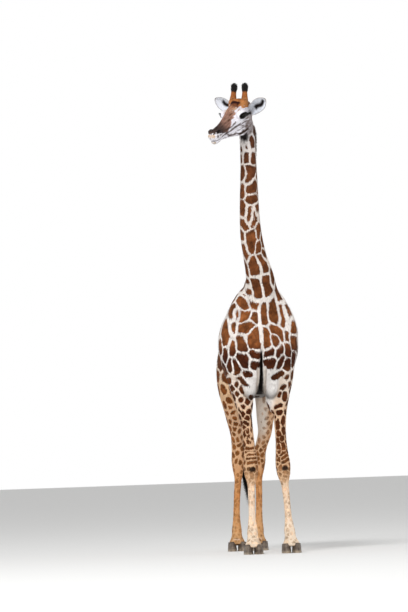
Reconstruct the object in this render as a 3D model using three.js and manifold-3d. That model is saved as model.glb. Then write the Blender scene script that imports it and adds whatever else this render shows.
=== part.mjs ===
// An adult female southern giraffe, standing, as a life-size still model.
//
// Units are millimetres and +Z is up. The animal faces -Y and its left side is +X. It stands
// on eight flat hooves at Z = 0, and the origin lies under the middle of its bounding box.
// Every flesh part is a run of cross-sections from one landmark to the next, joined with the
// muscle and bone forms that swell it, and parted from its neighbour by a thin cut.

import * as THREE from "three";
import { mergeVertices } from "three/addons/utils/BufferGeometryUtils.js";
import Module from "manifold-3d";

const wasm = await Module();
wasm.setup();

// ---------------------------------------------------------------- driving dimensions

const GAP = 0.35; // the cut between two parts that touch
const WELD = 1e-3; // vertices nearer than this are one
const WITHERS = { y: -430, z: 2690 }; // highest point of the back
const GIRTH = 640; // width of the barrel
const SHOULDERS = 752; // width over the shoulders
const HAUNCHES = 646; // width over the thighs
const COLLAR = { y: -400, z: 2715, slope: 43 }; // the cut between trunk and neck, falling forwards
const SOLE = 0; // level that the hooves stand on
const HOOF = { height: 84, half: 44, front: 120, back: 90, cleft: 9 };
const CORONET = { half: 38, front: 66, back: 80, rise: 7 }; // a claw's upper rim
const HEAD = { joint: [-71, -1035, 4070], turn: 39, nod: 24.5, tilt: 5 }; // at the back of the skull
const EYE = { at: [111, -204, 32], radius: 26, look: [0.93, -0.34, 0.08] };
const EAR = { length: 235, half: 60, thick: 6, root: [95, -36, 10], sunk: 0.1, curl: 26 };
const EARS = {
  left: { lift: 33, ahead: 0.18, face: 0.3 },
  right: { lift: 46, ahead: 0.37, face: -0.25 },
};
const OSSICONE = { foot: { left: [60, -82, 84], right: [-69, -82, 84] }, length: 192, lean: 27, spread: -2.2, skin: 0.93 };
const CROWN = { locks: 7, from: 0.68, to: 0.8, radius: 19, width: 22, thick: 6 }; // round a horn's tip
const MANE = { height: 86, width: 56, thick: 9, pitch: 41 };
const TAIL = { tuft: 0.5, locks: 13, short: 470, long: 600, thick: 15, swing: 0.09 };

// ---------------------------------------------------------------- making and joining solids

const v3 = (x, y, z) => new THREE.Vector3(x, y, z);
const rad = THREE.MathUtils.degToRad;
const mix = THREE.MathUtils.lerp;
const clamp = THREE.MathUtils.clamp;

// A repeatable draw between low and high for item n of a series.
function draw(n, series, low, high) {
  const s = Math.sin(n * 127.1 + series * 311.7) * 43758.5453;
  return mix(low, high, s - Math.floor(s));
}

function solid(geometry) {
  const loose = geometry.index ? geometry.toNonIndexed() : geometry;
  const bare = new THREE.BufferGeometry();
  bare.setAttribute("position", loose.getAttribute("position"));
  const merged = mergeVertices(bare, WELD);
  return new wasm.Manifold(
    new wasm.Mesh({
      numProp: 3,
      vertProperties: new Float32Array(merged.attributes.position.array),
      triVerts: new Uint32Array(merged.index.array),
    }),
  );
}

function geometryOf(shape) {
  const mesh = shape.getMesh();
  const position = new Float32Array(mesh.numVert * 3);
  for (let i = 0; i < mesh.numVert; i++) {
    const from = i * mesh.numProp;
    position.set(mesh.vertProperties.subarray(from, from + 3), i * 3);
  }
  const geometry = new THREE.BufferGeometry();
  geometry.setAttribute("position", new THREE.BufferAttribute(position, 3));
  geometry.setIndex(new THREE.BufferAttribute(new Uint32Array(mesh.triVerts), 1));
  geometry.computeVertexNormals();
  return geometry;
}

const join = (...shapes) => shapes.flat(2).reduce((a, b) => a.add(b));
const cut = (shape, ...tools) => tools.flat(2).reduce((a, b) => a.subtract(b), shape);

// The largest closed body of a shape, so that a cut leaves no loose scrap.
function largest(shape) {
  const bodies = shape.decompose();
  return bodies.reduce((a, b) => (b.volume() > a.volume() ? b : a));
}

function moved(shape, matrix) {
  return shape.transform(matrix.elements);
}

// Closes a list of equal rings of points into one skin. Each end gets a fan, or for a folded
// sheet a strip from its outer half ring to its inner one.
function skin(rings, folded = false) {
  const sides = rings[0].length;
  const points = rings.flat();
  const middle = (ring) => ring.reduce((a, p) => a.add(p), v3(0, 0, 0)).divideScalar(sides);
  const index = [];
  const last = (rings.length - 1) * sides;
  for (let k = 0; k < sides; k++) {
    const next = (k + 1) % sides;
    for (let i = 0; i + 1 < rings.length; i++) {
      const a = i * sides + k;
      const b = i * sides + next;
      index.push(a, b, a + sides, b, b + sides, a + sides);
    }
    if (!folded) index.push(points.length, next, k, points.length + 1, last + k, last + next);
  }
  for (let k = 0; folded && k < sides / 2 - 1; k++) {
    const [n, p, q] = [k + 1, sides - 2 - k, sides - 1 - k];
    index.push(k, q, p, k, p, n, last + k, last + n, last + p, last + k, last + p, last + q);
  }
  if (!folded) points.push(middle(rings[0]), middle(rings[rings.length - 1]));
  const geometry = new THREE.BufferGeometry().setFromPoints(points);
  geometry.setIndex(index);
  return solid(geometry);
}

// ---------------------------------------------------------------- cross-sections

// A section is { at: [x, y, z], half, up, down, egg, turn }: half its width, its reach above
// and below the widest line, how far its upper side narrows (0 to 1), and its turn about Z.
const COLUMNS = ["half", "up", "down", "egg", "turn"];

const numbersOf = (s) => [...s.at, ...COLUMNS.map((c) => s[c] ?? 0)];

// Sections drawn more closely: every column follows one cubic curve through its landmarks.
function smooth(sections, steps) {
  const rows = sections.map(numbersOf);
  const reach = [0];
  for (let i = 1; i < rows.length; i++) {
    const [a, b] = [rows[i - 1], rows[i]];
    reach.push(reach[i - 1] + Math.hypot(b[0] - a[0], b[1] - a[1], b[2] - a[2]));
  }
  const slope = rows.map((row, i) => {
    const [a, b] = [Math.max(0, i - 1), Math.min(rows.length - 1, i + 1)];
    return row.map((_, c) => (rows[b][c] - rows[a][c]) / (reach[b] - reach[a]));
  });
  const out = [];
  for (let i = 0; i + 1 < rows.length; i++) {
    const span = reach[i + 1] - reach[i];
    for (let k = 0; k < steps; k++) {
      const t = k / steps;
      const [t2, t3] = [t * t, t * t * t];
      out.push(
        rows[i].map(
          (value, c) =>
            (2 * t3 - 3 * t2 + 1) * value +
            (t3 - 2 * t2 + t) * span * slope[i][c] +
            (3 * t2 - 2 * t3) * rows[i + 1][c] +
            (t3 - t2) * span * slope[i + 1][c],
        ),
      );
    }
  }
  out.push(rows[rows.length - 1]);
  return out;
}

// The frame of each section: its centre, the way along, the side and the upper side.
function framesOf(rows) {
  return rows.map((row, i) => {
    const before = rows[Math.max(0, i - 1)];
    const after = rows[Math.min(rows.length - 1, i + 1)];
    const along = v3(after[0] - before[0], after[1] - before[1], after[2] - before[2]).normalize();
    const [x, y, z, half, up, down, egg, turn] = row;
    const side = v3(Math.cos(rad(turn)), Math.sin(rad(turn)), 0);
    side.addScaledVector(along, -side.dot(along)).normalize();
    const top = along.clone().cross(side);
    return { centre: v3(x, y, z), along, side, top, half, up, down, egg };
  });
}

// The point of a section at an angle from its left side, grown outwards by a margin.
function rim(frame, angle, grow = 0) {
  const [c, s] = [Math.cos(angle), Math.sin(angle)];
  const across = (frame.half + grow) * c * (1 - frame.egg * Math.max(0, s));
  const rise = s > 0 ? (frame.up + grow) * s : (frame.down + grow) * s;
  return frame.centre.clone().addScaledVector(frame.side, across).addScaledVector(frame.top, rise);
}

// One closed solid through the sections. A grown one is used to cut its neighbours.
function run(sections, sides, steps, grow = 0) {
  const frames = framesOf(smooth(sections, steps));
  frames[0].centre.addScaledVector(frames[0].along, -grow);
  frames[frames.length - 1].centre.addScaledVector(frames[frames.length - 1].along, grow);
  return skin(
    frames.map((frame) =>
      Array.from({ length: sides }, (_, k) => rim(frame, (2 * Math.PI * k) / sides, grow)),
    ),
  );
}

// A muscle or bone form: an ellipsoid with its radii along its own axes, turned in degrees.
function swell(at, radii, turn = [0, 0, 0], grow = 0, detail = 12) {
  const [rx, ry, rz] = radii.map((r) => r + grow);
  const geometry = new THREE.SphereGeometry(1, detail, Math.round(detail * 0.62));
  geometry.scale(rx, ry, rz);
  const euler = new THREE.Euler(rad(turn[0]), rad(turn[1]), rad(turn[2]));
  geometry.applyMatrix4(new THREE.Matrix4().makeRotationFromEuler(euler));
  geometry.translate(...at);
  return solid(geometry);
}

// The same form on both flanks.
function pair([x, y, z], radii, [rx, ry, rz] = [0, 0, 0], grow = 0, detail = 12) {
  return [
    swell([x, y, z], radii, [rx, ry, rz], grow, detail),
    swell([-x, y, z], radii, [rx, -ry, -rz], grow, detail),
  ];
}

// A flat tapered lock of hair. It leaves its root along rise and bends over towards lie.
function lock({ root, rise, lie, flat, length, width, thick, bend, sunk }) {
  const stations = [0, 0.38, 0.74, 1];
  const swellOf = [0.8, 1, 0.7, 0.06];
  const across = flat.clone().normalize();
  const rings = stations.map((t, i) => {
    const p = root.clone().addScaledVector(rise, -sunk * (1 - t) + length * t * (1 - bend * t * 0.5));
    p.addScaledVector(lie, length * bend * t * t);
    const way = rise.clone().multiplyScalar(1 - bend * t).addScaledVector(lie, 2 * bend * t);
    const face = way.clone().cross(across).normalize();
    const [w, h] = [(width / 2) * swellOf[i], (thick / 2) * Math.max(0.35, swellOf[i])];
    const corner = (a, b) => p.clone().addScaledVector(across, w * a).addScaledVector(face, h * b);
    return [corner(1, 0), corner(0, 1), corner(-1, 0), corner(0, -1)];
  });
  return skin(rings);
}

// ---------------------------------------------------------------- trunk

// From the buttocks to the breast. The back falls from the withers to the croup.
const TRUNK = [
  { at: [0, 788, 1860], half: 46, up: 60, down: 80, egg: 0.1 },
  { at: [0, 745, 1860], half: 150, up: 190, down: 180, egg: 0.3 },
  { at: [0, 640, 1860], half: 222, up: 312, down: 245, egg: 0.45 },
  { at: [0, 495, 1860], half: 0.46 * HAUNCHES, up: 382, down: 245, egg: 0.5 },
  { at: [0, 333, 1860], half: 0.45 * HAUNCHES, up: 432, down: 280, egg: 0.52 },
  { at: [0, 155, 1860], half: 0.46 * GIRTH, up: 498, down: 340, egg: 0.52 },
  { at: [0, -32, 1860], half: 0.5 * GIRTH, up: 586, down: 385, egg: 0.52 },
  { at: [0, -200, 1860], half: 0.5 * GIRTH, up: 690, down: 415, egg: 0.54 },
  { at: [0, -320, 1860], half: 0.47 * GIRTH, up: 782, down: 420, egg: 0.58 },
  { at: [0, WITHERS.y, 1870], half: 0.45 * GIRTH, up: WITHERS.z - 1870, down: 415, egg: 0.64 },
  { at: [0, -560, 1880], half: 0.46 * GIRTH, up: 786, down: 405, egg: 0.64 },
  { at: [0, -700, 1890], half: 0.46 * GIRTH, up: 650, down: 365, egg: 0.56 },
  { at: [0, -820, 1900], half: 262, up: 460, down: 320, egg: 0.45 },
  { at: [0, -915, 1915], half: 190, up: 275, down: 240, egg: 0.35 },
  { at: [0, -975, 1920], half: 96, up: 130, down: 130, egg: 0.2 },
  { at: [0, -992, 1920], half: 34, up: 46, down: 46, egg: 0 },
];

function trunk(grow = 0) {
  const shoulder = 0.5 * SHOULDERS;
  const haunch = 0.5 * HAUNCHES;
  return join(
    run(TRUNK, 18, 1, grow),
    pair([shoulder - 150, -640, 1980], [150, 190, 300], [-12, -8, 0], grow, 14), // shoulder blade
    swell([shoulder - 150, -650, 2228], [92, 180, 310], [-10, -25, 0], grow, 12), // muscle to the neck
    swell([180 - shoulder, -650, 2218], [88, 180, 305], [-10, 25, 0], grow, 12),
    pair([shoulder - 172, -735, 1790], [126, 150, 220], [14, 0, 0], grow, 14), // point of the shoulder
    pair([haunch - 138, 500, 1710], [138, 232, 345], [10, 3, 0], grow, 14), // rump and thigh
    swell([0, -800, 1850], [200, 152, 200], [12, 0, 0], grow, 14), // breast
    pair([110, -728, 1655], [92, 144, 240], [17, 3, 0], grow, 9), // breast muscle on the upper arm
    swell([-118, -645, 1480], [60, 88, 238], [0, 0, 0], grow, 7), // inner side of each upper arm
    swell([130, -645, 1480], [82, 88, 198], [0, 0, 0], grow, 7),
  );
}

// ---------------------------------------------------------------- neck and mane

// From inside the shoulders to inside the skull. It bends gently aside and turns near the top.
const NECK = [
  { at: [10, -520, 2080], half: 150, up: 230, down: 250, egg: 0.3 },
  { at: [26, -610, 2240], half: 156, up: 300, down: 265, egg: 0.45 },
  { at: [40, -690, 2400], half: 160, up: 312, down: 225, egg: 0.5 },
  { at: [30, -750, 2560], half: 138, up: 272, down: 174, egg: 0.45, turn: -1 },
  { at: [-8, -804, 2720], half: 117, up: 206, down: 140, egg: 0.38, turn: -3 },
  { at: [-40, -852, 2890], half: 106, up: 168, down: 118, egg: 0.3, turn: -5 },
  { at: [-54, -894, 3070], half: 98, up: 146, down: 104, egg: 0.25, turn: -8 },
  { at: [-56, -930, 3260], half: 91, up: 128, down: 94, egg: 0.2, turn: -12 },
  { at: [-55, -962, 3450], half: 83, up: 114, down: 86, egg: 0.16, turn: -18 },
  { at: [-56, -988, 3630], half: 76, up: 103, down: 82, egg: 0.12, turn: -26 },
  { at: [-60, -1008, 3790], half: 72, up: 98, down: 84, egg: 0.1, turn: -33 },
  { at: [-66, -1024, 3930], half: 66, up: 90, down: 80, egg: 0.1, turn: -37 },
  { at: [-72, -1040, 4030], half: 50, up: 60, down: 60, egg: 0.1, turn: -39 },
];

const neckFlesh = (grow = 0) => run(NECK, 16, 2, grow);

// The upright mane: flat locks in staggered rows along the top line, from nape to withers.
function maneLine() {
  const ridge = framesOf(smooth(NECK, 1)).slice(4, 12).map((frame) => rim(frame, Math.PI / 2));
  return new THREE.CatmullRomCurve3([
    v3(0, WITHERS.y + 30, WITHERS.z - 6),
    v3(10, -530, 2670),
    ...ridge,
  ]);
}

function maneLocks(series) {
  const curve = maneLine();
  const count = Math.round(curve.getLength() / MANE.pitch);
  return Array.from({ length: count }, (_, n) => {
    const t = clamp((n + 0.5 + draw(n, series, -0.15, 0.15)) / count, 0, 1);
    const along = curve.getTangentAt(t);
    const turn = rad(-HEAD.turn * t * t);
    const side = v3(Math.cos(turn), Math.sin(turn), 0);
    side.addScaledVector(along, -side.dot(along)).normalize();
    const aside = n % 2 ? 1 : -1;
    return lock({
      root: curve.getPointAt(t).addScaledVector(side, 4 * aside),
      rise: along.clone().cross(side).addScaledVector(side, 0.1 * aside).normalize(),
      lie: along.clone().negate(),
      flat: along.clone().addScaledVector(side, 0.22 * aside),
      length: MANE.height * draw(n, series + 2, 0.86, 1.1) * Math.min(1, 0.55 + 3 * t, 8 - 7.4 * t),
      width: MANE.width,
      thick: MANE.thick,
      bend: draw(n, series + 3, 0.22, 0.42),
      sunk: 20,
    });
  });
}

// ---------------------------------------------------------------- head

// In the head's own frame: the skull joint is the origin, the muzzle points to -Y.
const SKULL = [
  { at: [0, 20, -14], half: 26, up: 24, down: 26 },
  { at: [0, 0, -14], half: 66, up: 74, down: 92, egg: 0.15 },
  { at: [0, -45, -16], half: 86, up: 124, down: 138, egg: 0.3 },
  { at: [0, -100, -16], half: 94, up: 154, down: 162, egg: 0.36 },
  { at: [0, -158, -8], half: 99, up: 150, down: 168, egg: 0.3 },
  { at: [0, -212, -2], half: 97, up: 127, down: 164, egg: 0.24 },
  { at: [0, -270, -4], half: 84, up: 104, down: 150, egg: 0.28 },
  { at: [0, -330, -10], half: 69, up: 88, down: 129, egg: 0.34 },
  { at: [0, -396, -17], half: 58, up: 74, down: 107, egg: 0.36 },
  { at: [0, -460, -22], half: 51, up: 63, down: 88, egg: 0.3 },
  { at: [0, -516, -24], half: 52, up: 58, down: 75, egg: 0.2 },
  { at: [0, -562, -26], half: 54, up: 50, down: 64, egg: 0.1 },
  { at: [0, -598, -30], half: 48, up: 38, down: 53 },
  { at: [0, -620, -36], half: 28, up: 20, down: 32 },
];

function skull(grow = 0) {
  return join(
    run(SKULL, 16, 1, grow),
    pair([84, -208, 40], [38, 66, 40], [0, 0, -12], grow, 10), // orbit
    pair([60, -124, -76], [38, 92, 80], [-8, 0, -4], grow, 10), // jaw muscle
    pair([60, -88, 92], [42, 50, 64], [-24, 2, 0], grow, 8), // foot of each ossicone
    swell([0, -98, 106], [68, 76, 44], [0, 0, 0], grow, 8), // crown between them
    pair([54, -190, -94], [33, 112, 74], [-6, 0, -4], grow, 8), // edge of the jaw
    pair([37, -548, 0], [24, 48, 26], [-10, 0, -10], grow, 10), // nostril wing
    swell([0, -584, -34], [48, 44, 35], [-8, 0, 0], grow, 10), // upper lip
    swell([0, -548, -82], [39, 66, 25], [4, 0, 0], grow, 10), // lower lip and chin
  );
}

// An almond outline, pointed at both corners, thickened along its own Z.
function almond(length, height, depth) {
  const outline = new THREE.Shape();
  outline.moveTo(-length / 2, 0);
  outline.quadraticCurveTo(0, height, length / 2, 0);
  outline.quadraticCurveTo(0, -height, -length / 2, 0);
  const geometry = new THREE.ExtrudeGeometry(outline, {
    depth,
    bevelEnabled: false,
    curveSegments: 4,
  });
  return geometry;
}

const eyePlace = (side) => v3(side * EYE.at[0], EYE.at[1], EYE.at[2]);
const eyeBall = (side, grow = 0) => {
  const geometry = new THREE.SphereGeometry(EYE.radius + grow, 14, 9);
  geometry.translate(...eyePlace(side).toArray());
  return solid(geometry);
};

// The lids: a shell over the ball with an almond opening that looks out and a little forward.
function lids(side) {
  const look = v3(side * EYE.look[0], EYE.look[1], EYE.look[2]).normalize();
  const shell = swell(eyePlace(side).toArray(), Array(3).fill(EYE.radius + 6), [0, 0, 0], 0, 12);
  const forward = v3(0, -1, 0).addScaledVector(look, look.y).normalize();
  const frame = new THREE.Matrix4().makeBasis(forward, look.clone().cross(forward), look);
  const hole = almond(2 * EYE.radius - 4, EYE.radius + 8, 3 * EYE.radius);
  hole.applyMatrix4(frame);
  hole.translate(...eyePlace(side).toArray());
  return { shell, hole: solid(hole) };
}

// The line of the mouth: a thin slit round the muzzle, cut a little way into the lips.
function mouthSlit() {
  const depth = 10;
  const line = [
    { at: [0, -410, -46], half: 60, up: 1.0, down: 1.0 },
    { at: [0, -462, -58], half: 70, up: 1.6, down: 1.6 },
    { at: [0, -532, -67], half: 90, up: 2.0, down: 2.0 },
    { at: [0, -592, -68], half: 90, up: 2.0, down: 2.0 },
    { at: [0, -662, -66], half: 60, up: 1.8, down: 1.8 },
  ];
  return cut(run(line, 8, 1), skull(-depth));
}

function nostrils() {
  return [1, -1].map((side) =>
    swell([side * 57, -560, 2], [10, 28, 6], [26, side * 14, side * 22], 0, 10),
  );
}

function headFlesh() {
  const eyes = [1, -1].map(lids);
  const dressed = join(skull(), eyes.map((e) => e.shell));
  const sockets = [1, -1].map((side) => eyeBall(side, GAP));
  return cut(dressed, eyes.map((e) => e.hole), sockets, mouthSlit(), nostrils());
}

// ---------------------------------------------------------------- ears

// A leaf rolled into a cup: each section is a crescent, closed at the root and at the tip.
// Its width from the root to the point, and how far it is rolled there, in degrees.
const LEAF = [
  { t: 0, width: 0.42, roll: 122 },
  { t: 0.12, width: 0.55, roll: 106 },
  { t: 0.25, width: 0.74, roll: 90 },
  { t: 0.4, width: 0.92, roll: 70 },
  { t: 0.55, width: 1, roll: 58 },
  { t: 0.68, width: 0.97, roll: 56 },
  { t: 0.8, width: 0.8, roll: 56 },
  { t: 0.9, width: 0.54, roll: 56 },
  { t: 0.96, width: 0.32, roll: 56 },
  { t: 1, width: 0.05, roll: 56 },
];

function ear(side) {
  const arc = 8;
  const { lift, ahead, face } = side > 0 ? EARS.left : EARS.right;
  const axis = v3(Math.cos(rad(lift)), -ahead, Math.sin(rad(lift))).normalize();
  const open = v3(face, -0.92, 0.1);
  open.addScaledVector(axis, -open.dot(axis)).normalize();
  const wide = axis.clone().cross(open);
  const rings = LEAF.map(({ t, width, roll }) => {
    const turn = rad(roll);
    const radius = (EAR.half * width) / Math.sin(Math.min(turn, Math.PI / 2));
    const thick = Math.min(EAR.thick * mix(1.3, 0.8, t), radius * 0.5);
    const middle = v3(...EAR.root)
      .addScaledVector(axis, EAR.length * (t - EAR.sunk))
      .addScaledVector(open, radius * 0.6 - EAR.curl * t * t);
    const bent = (r, a) =>
      middle
        .clone()
        .addScaledVector(wide, r * Math.sin(a))
        .addScaledVector(open, -r * Math.cos(a));
    const outer = [];
    const inner = [];
    for (let k = 0; k <= arc; k++) {
      const a = mix(-turn, turn, k / arc);
      outer.push(bent(radius + thick / 2, a));
      inner.unshift(bent(radius - thick / 2, a * 0.97));
    }
    return [...outer, ...inner].reverse();
  });
  const made = skin(rings, true);
  return side > 0 ? made : made.mirror([1, 0, 0]);
}

// ---------------------------------------------------------------- ossicones

// A blunt horn of bone under skin, with a crown of stiff hair locks round its tip.
function hornWay(side) {
  const way = v3(side * Math.sin(rad(OSSICONE.spread)), 0, 0);
  way.y = Math.sin(rad(OSSICONE.lean));
  way.z = Math.cos(rad(OSSICONE.lean));
  return way.normalize();
}

// The stem's radius from its foot to its tip: thick below, slim in the middle, a knob above.
const STEM = [
  { t: 0, radius: 37 },
  { t: 0.14, radius: 34 },
  { t: 0.3, radius: 28 },
  { t: 0.48, radius: 23 },
  { t: 0.64, radius: 21 },
  { t: 0.78, radius: 22 },
  { t: 0.89, radius: 23 },
  { t: 0.97, radius: 18 },
  { t: 1, radius: 6 },
];
const hornFoot = (side) => v3(...(side > 0 ? OSSICONE.foot.left : OSSICONE.foot.right));

function hornStem(side, grow = 0) {
  const sections = STEM.map(({ t, radius }) => {
    const at = hornFoot(side).addScaledVector(hornWay(side), OSSICONE.length * OSSICONE.skin * t);
    return { at: at.toArray(), half: radius, up: radius, down: radius };
  });
  return run(sections, 10, 1, grow);
}

function ossicone(side) {
  const way = hornWay(side);
  const across = v3(1, 0, 0).addScaledVector(way, -way.x).normalize();
  const ahead = way.clone().cross(across);
  const crown = Array.from({ length: CROWN.locks }, (_, n) => {
    const a = (2 * Math.PI * (n + draw(n, 40, -0.15, 0.15))) / CROWN.locks;
    const out = across.clone().multiplyScalar(Math.cos(a)).addScaledVector(ahead, Math.sin(a));
    const low = OSSICONE.length * draw(n, 41, CROWN.from, CROWN.to);
    return lock({
      root: hornFoot(side).addScaledVector(way, low).addScaledVector(out, CROWN.radius),
      rise: way.clone().addScaledVector(out, 0.3).normalize(),
      lie: out.clone().negate(),
      flat: way.clone().cross(out),
      length: OSSICONE.length * draw(n, 42, 0.25, 0.32),
      width: CROWN.width,
      thick: CROWN.thick,
      bend: 0.16,
      sunk: 8,
    });
  });
  return join(hornStem(side), crown);
}

// ---------------------------------------------------------------- legs and hooves

// Height, lengthwise place and reach of the sections of a leg: width, front and back.
const FORE = [
  { z: 1740, y: -690, half: 105, up: 130, down: 130 },
  { z: 1600, y: -652, half: 98, up: 120, down: 138 },
  { z: 1480, y: -628, half: 84, up: 100, down: 124 },
  { z: 1340, y: -620, half: 69, up: 84, down: 92 },
  { z: 1200, y: -622, half: 57, up: 68, down: 70 },
  { z: 1050, y: -628, half: 53, up: 54, down: 55 },
  { z: 940, y: -634, half: 60, up: 52, down: 53 },
  { z: 860, y: -638, half: 69, up: 60, down: 56 },
  { z: 800, y: -638, half: 71, up: 63, down: 60 },
  { z: 730, y: -634, half: 64, up: 50, down: 60 },
  { z: 640, y: -630, half: 39, up: 37, down: 48 },
  { z: 500, y: -626, half: 34, up: 34, down: 42 },
  { z: 360, y: -624, half: 34, up: 34, down: 42 },
  { z: 260, y: -624, half: 44, up: 40, down: 54 },
  { z: 208, y: -630, half: 53, up: 47, down: 62 },
  { z: 150, y: -648, half: 54, up: 46, down: 56 },
  { z: 108, y: -664, half: 68, up: 58, down: 66 },
  { z: 84, y: -672, half: 80, up: 76, down: 82 },
  { z: 60, y: -674, half: 72, up: 70, down: 76 },
];
const HIND = [
  { z: 1760, y: 505, half: 120, up: 205, down: 205 },
  { z: 1620, y: 465, half: 128, up: 215, down: 205 },
  { z: 1500, y: 445, half: 122, up: 185, down: 180 },
  { z: 1380, y: 460, half: 101, up: 142, down: 142 },
  { z: 1260, y: 505, half: 84, up: 104, down: 108 },
  { z: 1130, y: 561, half: 68, up: 78, down: 80 },
  { z: 1010, y: 605, half: 59, up: 61, down: 68 },
  { z: 930, y: 627, half: 62, up: 60, down: 76 },
  { z: 870, y: 635, half: 64, up: 61, down: 80 },
  { z: 790, y: 631, half: 57, up: 55, down: 64 },
  { z: 690, y: 617, half: 38, up: 42, down: 48 },
  { z: 540, y: 601, half: 34, up: 36, down: 43 },
  { z: 370, y: 587, half: 34, up: 35, down: 43 },
  { z: 260, y: 579, half: 42, up: 40, down: 54 },
  { z: 206, y: 571, half: 50, up: 46, down: 60 },
  { z: 150, y: 549, half: 52, up: 46, down: 56 },
  { z: 108, y: 531, half: 66, up: 58, down: 66 },
  { z: 84, y: 521, half: 78, up: 76, down: 82 },
  { z: 60, y: 517, half: 70, up: 70, down: 76 },
];

// How far out each leg stands, at heights from its top to its foot.
const LEGS = {
  foreleg_right: { table: FORE, out: [-222, -143, -122, -109, -106, -110, -112] },
  foreleg_left: { table: FORE, out: [228, 180, 180, 186, 197, 219, 240] },
  hindleg_right: { table: HIND, out: [-206, -164, -139, -134, -136, -165, -178] },
  hindleg_left: { table: HIND, out: [178, 134, 129, 76, 59, 54, 30] },
};
const STANCE_Z = [1740, 1300, 1130, 930, 720, 460, 60];

function outAt({ out }, z) {
  const k = clamp(STANCE_Z.filter((station) => z < station).length - 1, 0, STANCE_Z.length - 2);
  return mix(out[k], out[k + 1], clamp((STANCE_Z[k] - z) / (STANCE_Z[k] - STANCE_Z[k + 1]), 0, 1));
}

const legSections = (leg) => leg.table.map((row) => ({ ...row, at: [outAt(leg, row.z), row.y, row.z] }));

// One of the two claws of a foot: flat sole, sloping front wall, upright inner wall.
function claw(leg, which, grow = 0) {
  const foot = leg.table[leg.table.length - 1];
  const x = outAt(leg, 0) + which * (HOOF.half + HOOF.cleft / 2);
  const levels = [SOLE, 0.14, 0.42, 0.72, 1];
  const sides = 14;
  const square = (v) => Math.sign(v) * Math.pow(Math.abs(v), 0.78); // fuller than an ellipse
  const rings = levels.map((t, i) => {
    const z = HOOF.height * t + (i === 0 ? -grow : i === levels.length - 1 ? grow : 0);
    const half = mix(HOOF.half, CORONET.half, t) + grow;
    const front = mix(HOOF.front, CORONET.front, Math.pow(t, 0.9)) + grow;
    const back = mix(HOOF.back, CORONET.back, t) + grow;
    return Array.from({ length: sides }, (_, k) => {
      const a = (2 * Math.PI * k) / sides;
      const [c, s] = [Math.cos(a), Math.sin(a)];
      const toe = s > 0 ? 1 - 0.3 * s * s : 1; // narrower towards its point
      const y = foot.y - (s > 0 ? front : back) * square(s);
      return v3(x + half * square(c) * toe, y, s > 0 ? z + CORONET.rise * t * s : z);
    });
  });
  return skin(rings.map((r) => r.slice().reverse()));
}

// ---------------------------------------------------------------- tail

const DOCK = [
  { at: [0, 690, 2050], half: 60, up: 52, down: 50 },
  { at: [-2, 766, 2014], half: 48, up: 42, down: 42 },
  { at: [-6, 820, 1930], half: 36, up: 31, down: 33 },
  { at: [-14, 847, 1800], half: 27, up: 24, down: 24 },
  { at: [-28, 856, 1620], half: 21, up: 19, down: 19 },
  { at: [-46, 856, 1430], half: 17, up: 15, down: 15 },
  { at: [-60, 852, 1260], half: 14, up: 13, down: 13 },
  { at: [-70, 846, 1120], half: 11, up: 10, down: 10 },
  { at: [-72, 843, 980], half: 5, up: 5, down: 5 },
];

// The long switch: flat locks that leave the end of the dock and hang in a loose point.
function switchLocks() {
  const frames = framesOf(smooth(DOCK, 3));
  return Array.from({ length: TAIL.locks }, (_, n) => {
    const down = n / (TAIL.locks - 1);
    const frame = frames[Math.floor(mix(TAIL.tuft, 0.96, down) * (frames.length - 1))];
    const a = n * 2.4;
    const out = frame.side.clone().multiplyScalar(Math.cos(a)).addScaledVector(frame.top, Math.sin(a));
    return lock({
      root: frame.centre.clone().addScaledVector(out, frame.half * 0.35),
      rise: frame.along
        .clone()
        .addScaledVector(out, mix(0.1, 0.05, down))
        .add(v3(TAIL.swing * down, 0, 0)) // the lower hair swings back under the body
        .normalize(),
      lie: out.clone().negate(),
      flat: frame.along.clone().cross(out),
      length: mix(TAIL.short, TAIL.long, down) * draw(n, 60, 0.84, 1.06),
      width: draw(n, 61, 40, 50),
      thick: TAIL.thick,
      bend: 0.06,
      sunk: 16,
    });
  });
}

// ---------------------------------------------------------------- assembly

const headMatrix = new THREE.Matrix4()
  .makeTranslation(...HEAD.joint)
  .multiply(new THREE.Matrix4().makeRotationZ(rad(-HEAD.turn)))
  .multiply(new THREE.Matrix4().makeRotationX(rad(HEAD.nod)))
  .multiply(new THREE.Matrix4().makeRotationY(rad(HEAD.tilt)));
const placed = (shape) => moved(shape, headMatrix);

// A block with one face on the collar plane: ahead of it (+1) or behind it (-1), GAP / 2 clear.
function beyondCollar(side) {
  const size = 4000;
  const geometry = new THREE.BoxGeometry(size, size, size);
  geometry.translate(0, 0, (side * (size - GAP)) / 2);
  geometry.rotateX(rad(COLLAR.slope));
  geometry.translate(0, COLLAR.y, COLLAR.z);
  return solid(geometry);
}

const coat = { color: 0xd8b48c, roughness: 0.85, metalness: 0 };
const finishes = {
  coat: new THREE.MeshStandardMaterial(coat),
  horn: new THREE.MeshStandardMaterial({ color: 0x8a4f22, roughness: 0.8, metalness: 0 }),
  hair: new THREE.MeshStandardMaterial({ color: 0x17110d, roughness: 0.6, metalness: 0 }),
  hoof: new THREE.MeshStandardMaterial({ color: 0x4a3c30, roughness: 0.55, metalness: 0 }),
  eye: new THREE.MeshStandardMaterial({ color: 0x0d0805, roughness: 0.08, metalness: 0 }),
};

const giraffe = new THREE.Group();

function add(name, shape, finish) {
  const mesh = new THREE.Mesh(geometryOf(largest(shape)), finishes[finish]);
  mesh.name = name;
  giraffe.add(mesh);
}

const trunkCutter = join(trunk(GAP), cut(neckFlesh(GAP), beyondCollar(1)));
const skullCutter = placed(skull(GAP));
const body = join(trunk(), neckFlesh());
const neck = cut(body, beyondCollar(-1));

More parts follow.
